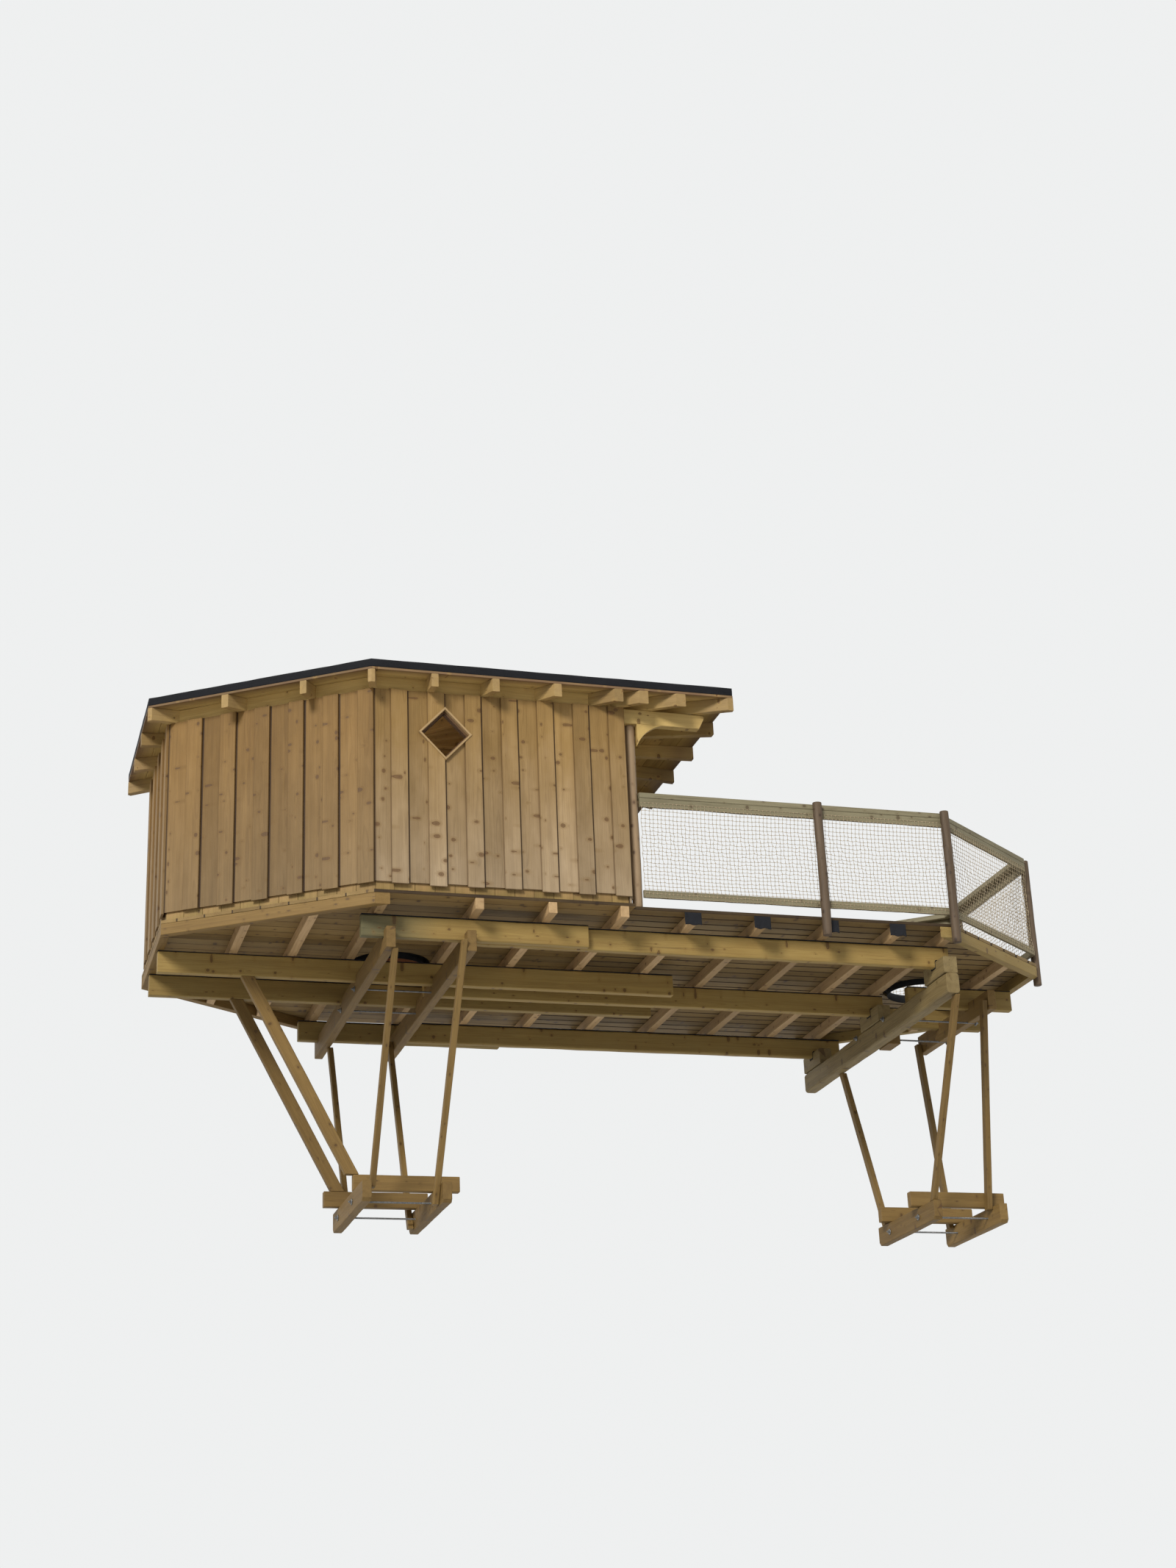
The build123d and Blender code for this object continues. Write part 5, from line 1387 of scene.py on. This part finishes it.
class TREEHOUSE_OT_felts(bpy.types.Operator):
    """Wraps felt over the joist ends, lays the felt strips and fits the rubber collars"""

    bl_idname = "treehouse.felts"
    bl_label = "Felt and rubber"

    def execute(self, context):
        finish = materials()
        refinish("beam_felt", finish["strip_felt"])
        caps = Form()
        for number, (points, _) in enumerate(solids("joist_end_caps")):
            self.cap(caps, points.min(0), points.max(0), 1700 + number)
        caps.make("joist_cap_sheets", "black_felt", finish["strip_felt"], ("joist_end_caps",))
        collars = Form()
        rng = np.random.default_rng(1800)
        radius = np.array([0.3055, 0.3055, 0.3085, 0.330, 0.365, 0.392, 0.395, 0.392, 0.365, 0.330, 0.315, 0.3135,
                           0.3125, 0.309])
        level = np.array([2.012, 2.070, 2.0885, 2.0892, 2.0892, 2.0892, 2.088, 2.0866, 2.0866, 2.0866, 2.084, 2.060,
                          2.012, 2.0112])
        angle = np.linspace(0, TURN, 72, endpoint=False)[:, None]
        for x in TRUNKS:
            fold = 0.5 + 0.5 * np.sin(11 * angle + rng.uniform(0, 6)) * np.sin(4 * angle + rng.uniform(0, 6))
            r = radius - 0.002 * fold * (radius > 0.36)
            z = level - 0.0012 * fold * (level > 2.0885)
            points = np.stack([x + r * np.cos(angle), TRUNK_Y + r * np.sin(angle), z], -1)
            collars.tube(points, points, 0.5, ring=True, smooth=True)
        collars.make("trunk_collar_sleeves", "black_rubber", finish["rubber"], ("trunk_collars",))
        return {"FINISHED"}

    def cap(self, form, low, high, seed):
        """A felt flap over one joist end: a sheet that bulges over the end and whose free sides lift off."""
        rng = np.random.default_rng(seed)
        face, end = (-1.0, low[1]) if low[1] < TRUNK_Y else (1.0, high[1])
        x = np.linspace(low[0], high[0], 17)[:, None]
        z = np.linspace(high[2], low[2], 11)[None, :]
        side = (x - x.mean()) / (high[0] - low[0]) * 2
        down = (high[2] - z) / (high[2] - low[2])
        flare = np.clip(np.abs(side) - 0.5, 0, 1) ** 1.4 * 0.010 + 0.006 * down ** 3
        crease = 0.0018 * np.sin(9 * side + 4 * down + rng.uniform(0, 6)) * down
        out = face * (0.5 * np.clip(flare + crease, 0.0, 0.02) - 0.0003)
        wavy = z + 0.005 * np.sin(5 * side + rng.uniform(0, 6)) * down ** 2 + 0.004 * down ** 2
        front = np.stack([x + 0 * z, end + out, wavy], -1)
        back = front - np.array([0.0, face * 0.0035, 0.0])
        points = np.stack([front, back] if face < 0 else [back, front])
        count = x.size * z.size
        index = np.arange(count).reshape(x.size, z.size)
        quads = np.stack([index[:-1, :-1], index[:-1, 1:], index[1:, 1:], index[1:, :-1]], -1).reshape(-1, 4)
        rim = np.concatenate([index[:-1, 0], index[-1, :-1], index[:0:-1, -1], index[0, :0:-1]])
        after = np.roll(rim, -1)
        walls = np.stack([rim, after, after + count, rim + count], -1)
        form.add(points, [quads, quads[:, ::-1] + count, walls], points, 0.5, 0.0, True)


def turned(form, start, along, profile, sides=24, fade=0.0, smooth=True, seed=0, twist=0.0):
    """A turned piece: (distance, radius) pairs of a profile carried round an axis, closed at its ends."""
    start, along = np.array(start, float), np.array(along, float)
    side = unit(np.cross(UP, along))
    top = np.cross(along, side)
    s, r = np.array(profile, float).T
    angle = np.linspace(0, TURN, sides, endpoint=False) + twist
    points = (start + s[:, None, None] * along
              + r[:, None, None] * (np.cos(angle)[:, None] * side + np.sin(angle)[:, None] * top))
    grain = np.stack([np.broadcast_to(s[:, None], points.shape[:2]) + 0.13 * seed,
                      np.broadcast_to(angle, points.shape[:2]), np.broadcast_to(r[:, None], points.shape[:2])], -1)
    form.tube(points, grain, 0.5, fade, smooth=smooth)


class TREEHOUSE_OT_rods(bpy.types.Operator):
    """Sets the threaded rods of the clamps with their washers and hexagon nuts"""

    bl_idname = "treehouse.rods"
    bl_label = "Rods, washers and nuts"

    def execute(self, context):
        finish = materials()
        for node in ("upper_clamp_rods", "lower_clamp_rods"):
            form = Form()
            for number, (points, _) in enumerate(solids(node)):
                low, high = points.min(0), points.max(0)
                y, z = (low[1] + high[1]) / 2, (low[2] + high[2]) / 2
                distance = np.hypot(points[:, 1] - y, points[:, 2] - z)
                rod, washer = distance.min(), distance.max()
                wide = points[distance > washer * 0.9]
                length = high[0] - low[0]
                turned(form, (low[0], y, z), (1, 0, 0),
                       [(0, rod * 0.8), (0.002, rod), (length - 0.002, rod), (length, rod * 0.8)], 16, fade=1.0,
                       seed=number)
                for x, direction in ((wide[:, 0].min(), 1.0), (wide[:, 0].max(), -1.0)):
                    turned(form, (x, y, z), (direction, 0, 0),
                           [(0.0, washer - 0.001), (0.001, washer), (0.005, washer), (0.0058, washer - 0.001)], 32)
                    nut = rod * 1.75
                    turned(form, (x - direction * 0.0002, y, z), (-direction, 0, 0),
                           [(0.0, nut * 0.94), (0.001, nut), (0.011, nut), (0.0125, nut * 0.9)], 6, smooth=False,
                           twist=0.3 * number)
            form.make(node + "_steel", "steel", finish["steel"], (node,))
        return {"FINISHED"}


class TREEHOUSE_OT_stage(bpy.types.Operator):
    """Sets the pale floor, the backdrop, soft light and the camera"""

    bl_idname = "treehouse.stage"
    bl_label = "Stage"

    def execute(self, context):
        look = context.scene.tree_house_look
        n = Nodes("stage_floor")
        tint = n.mix(n.ramp(n.noise(n.place(), 0.35, 4.0), (0.3, 0.0), (0.7, 1.0)), (0.70, 0.69, 0.67),
                     (0.74, 0.73, 0.71))
        mesh = bpy.data.meshes.new("stage_floor")
        wide, level = 160.0, -17.0
        grid = np.linspace(-wide, wide, 9)
        gx, gy = np.meshgrid(grid, grid, indexing="ij")
        points = np.stack([gx.ravel(), gy.ravel(), np.full(gx.size, level)], -1)
        index = np.arange(81).reshape(9, 9)
        quads = np.stack([index[:-1, :-1], index[1:, :-1], index[1:, 1:], index[:-1, 1:]], -1).reshape(-1, 4)
        mesh.from_pydata(points.tolist(), [], quads.tolist())
        mesh.materials.append(n.finish(tint, 0.9))
        show("stage_floor", mesh)
        world = bpy.data.worlds.new("soft_light")
        context.scene.world = world
        world.use_nodes = True
        tree = world.node_tree
        tree.nodes.clear()
        out = tree.nodes.new("ShaderNodeOutputWorld")
        light, shown = (tree.nodes.new("ShaderNodeBackground") for _ in range(2))
        for background, colour, strength in (
                (light, (0.95, 0.97, 1.0, 1.0), 0.5), (shown, (0.86, 0.87, 0.87, 1.0), 1.0)):
            background.inputs["Color"].default_value = colour
            background.inputs["Strength"].default_value = strength
        path = tree.nodes.new("ShaderNodeLightPath")
        pick = tree.nodes.new("ShaderNodeMixShader")
        seen = path.outputs["Is Camera Ray"]
        for ray in ("Is Glossy Ray", "Is Transmission Ray"):
            either = tree.nodes.new("ShaderNodeMath")
            either.operation = "MAXIMUM"
            tree.links.new(seen, either.inputs[0])
            tree.links.new(path.outputs[ray], either.inputs[1])
            seen = either.outputs[0]
        tree.links.new(seen, pick.inputs[0])
        tree.links.new(light.outputs[0], pick.inputs[1])
        tree.links.new(shown.outputs[0], pick.inputs[2])
        tree.links.new(pick.outputs[0], out.inputs[0])
        for name, energy, turn, soft, tint in (
                ("key_light", look.key_light, (0.52, 0.70, -0.42), 0.3, (1.0, 0.97, 0.91)),
                ("under_light", 0.10, (0.25, 0.55, 0.80), 1.2, (1.0, 0.98, 0.94))):
            lamp = bpy.data.lights.new(name, "SUN")
            lamp.energy, lamp.angle, lamp.color = energy, soft, tint
            show(name, lamp).rotation_euler = Vector(turn).to_track_quat("-Z", "Y").to_euler()
        lamp = bpy.data.lights.new("room_light", "POINT")
        lamp.energy, lamp.shadow_soft_size, lamp.color = 16.0, 0.4, (1.0, 0.86, 0.72)
        show("room_light", lamp).location = (-0.9, -0.3, 3.0)
        yaw, pitch, roll = np.radians((16.81, 21.95, -2.40))
        ahead = np.array([np.sin(yaw) * np.cos(pitch), np.cos(yaw) * np.cos(pitch), np.sin(pitch)])
        right = np.array([np.cos(yaw), -np.sin(yaw), 0.0])
        above = np.cross(right, ahead)
        across = np.cos(roll) * right + np.sin(roll) * above
        above = -np.sin(roll) * right + np.cos(roll) * above
        data = bpy.data.cameras.new("photo_camera")
        focal_pixels, frame_pixels, sensor = 3164.0, 2133.0, 36.0
        data.sensor_fit = "AUTO"
        data.sensor_width = sensor
        data.lens = focal_pixels * sensor / frame_pixels
        data.clip_end = 600.0
        camera = show("photo_camera", data)
        matrix = Matrix([[*row] for row in np.column_stack([across, above, -ahead])])
        camera.rotation_euler = matrix.to_euler()
        camera.location = (-3.951, -19.205, -4.282)
        context.scene.camera = camera
        context.scene.view_settings.view_transform = "Standard"
        return {"FINISHED"}


class TREEHOUSE_PT_panel(bpy.types.Panel):
    """Settings and steps of the tree house"""

    bl_idname = "TREEHOUSE_PT_panel"
    bl_label = "Tree House"
    bl_space_type = "VIEW_3D"
    bl_region_type = "UI"
    bl_category = "Tree House"

    def draw(self, context):
        look = context.scene.tree_house_look
        for name in ("floor_board", "deck_gap", "roof_board", "net_mesh", "net_cord", "pole_swell", "key_light"):
            self.layout.prop(look, name)
        for step in STEPS:
            self.layout.operator("treehouse." + step)


STEPS = ("walls", "window", "floors", "beams", "clamps", "roof", "posts", "rails", "nets", "felts", "rods", "stage")
CLASSES = (
    TreeHouseLook,
    TREEHOUSE_OT_walls,
    TREEHOUSE_OT_window,
    TREEHOUSE_OT_floors,
    TREEHOUSE_OT_beams,
    TREEHOUSE_OT_clamps,
    TREEHOUSE_OT_roof,
    TREEHOUSE_OT_posts,
    TREEHOUSE_OT_rails,
    TREEHOUSE_OT_nets,
    TREEHOUSE_OT_felts,
    TREEHOUSE_OT_rods,
    TREEHOUSE_OT_stage,
    TREEHOUSE_PT_panel,
)


def register():
    for kind in CLASSES:
        bpy.utils.register_class(kind)
    bpy.types.Scene.tree_house_look = bpy.props.PointerProperty(
        type=TreeHouseLook, name="Tree house look", description="Sizes of the dressing")


def unregister():
    del bpy.types.Scene.tree_house_look
    for kind in reversed(CLASSES):
        bpy.utils.unregister_class(kind)


def main():
    register()
    for step in STEPS:
        getattr(bpy.ops.treehouse, step)()


if __name__ == "__main__":
    main()
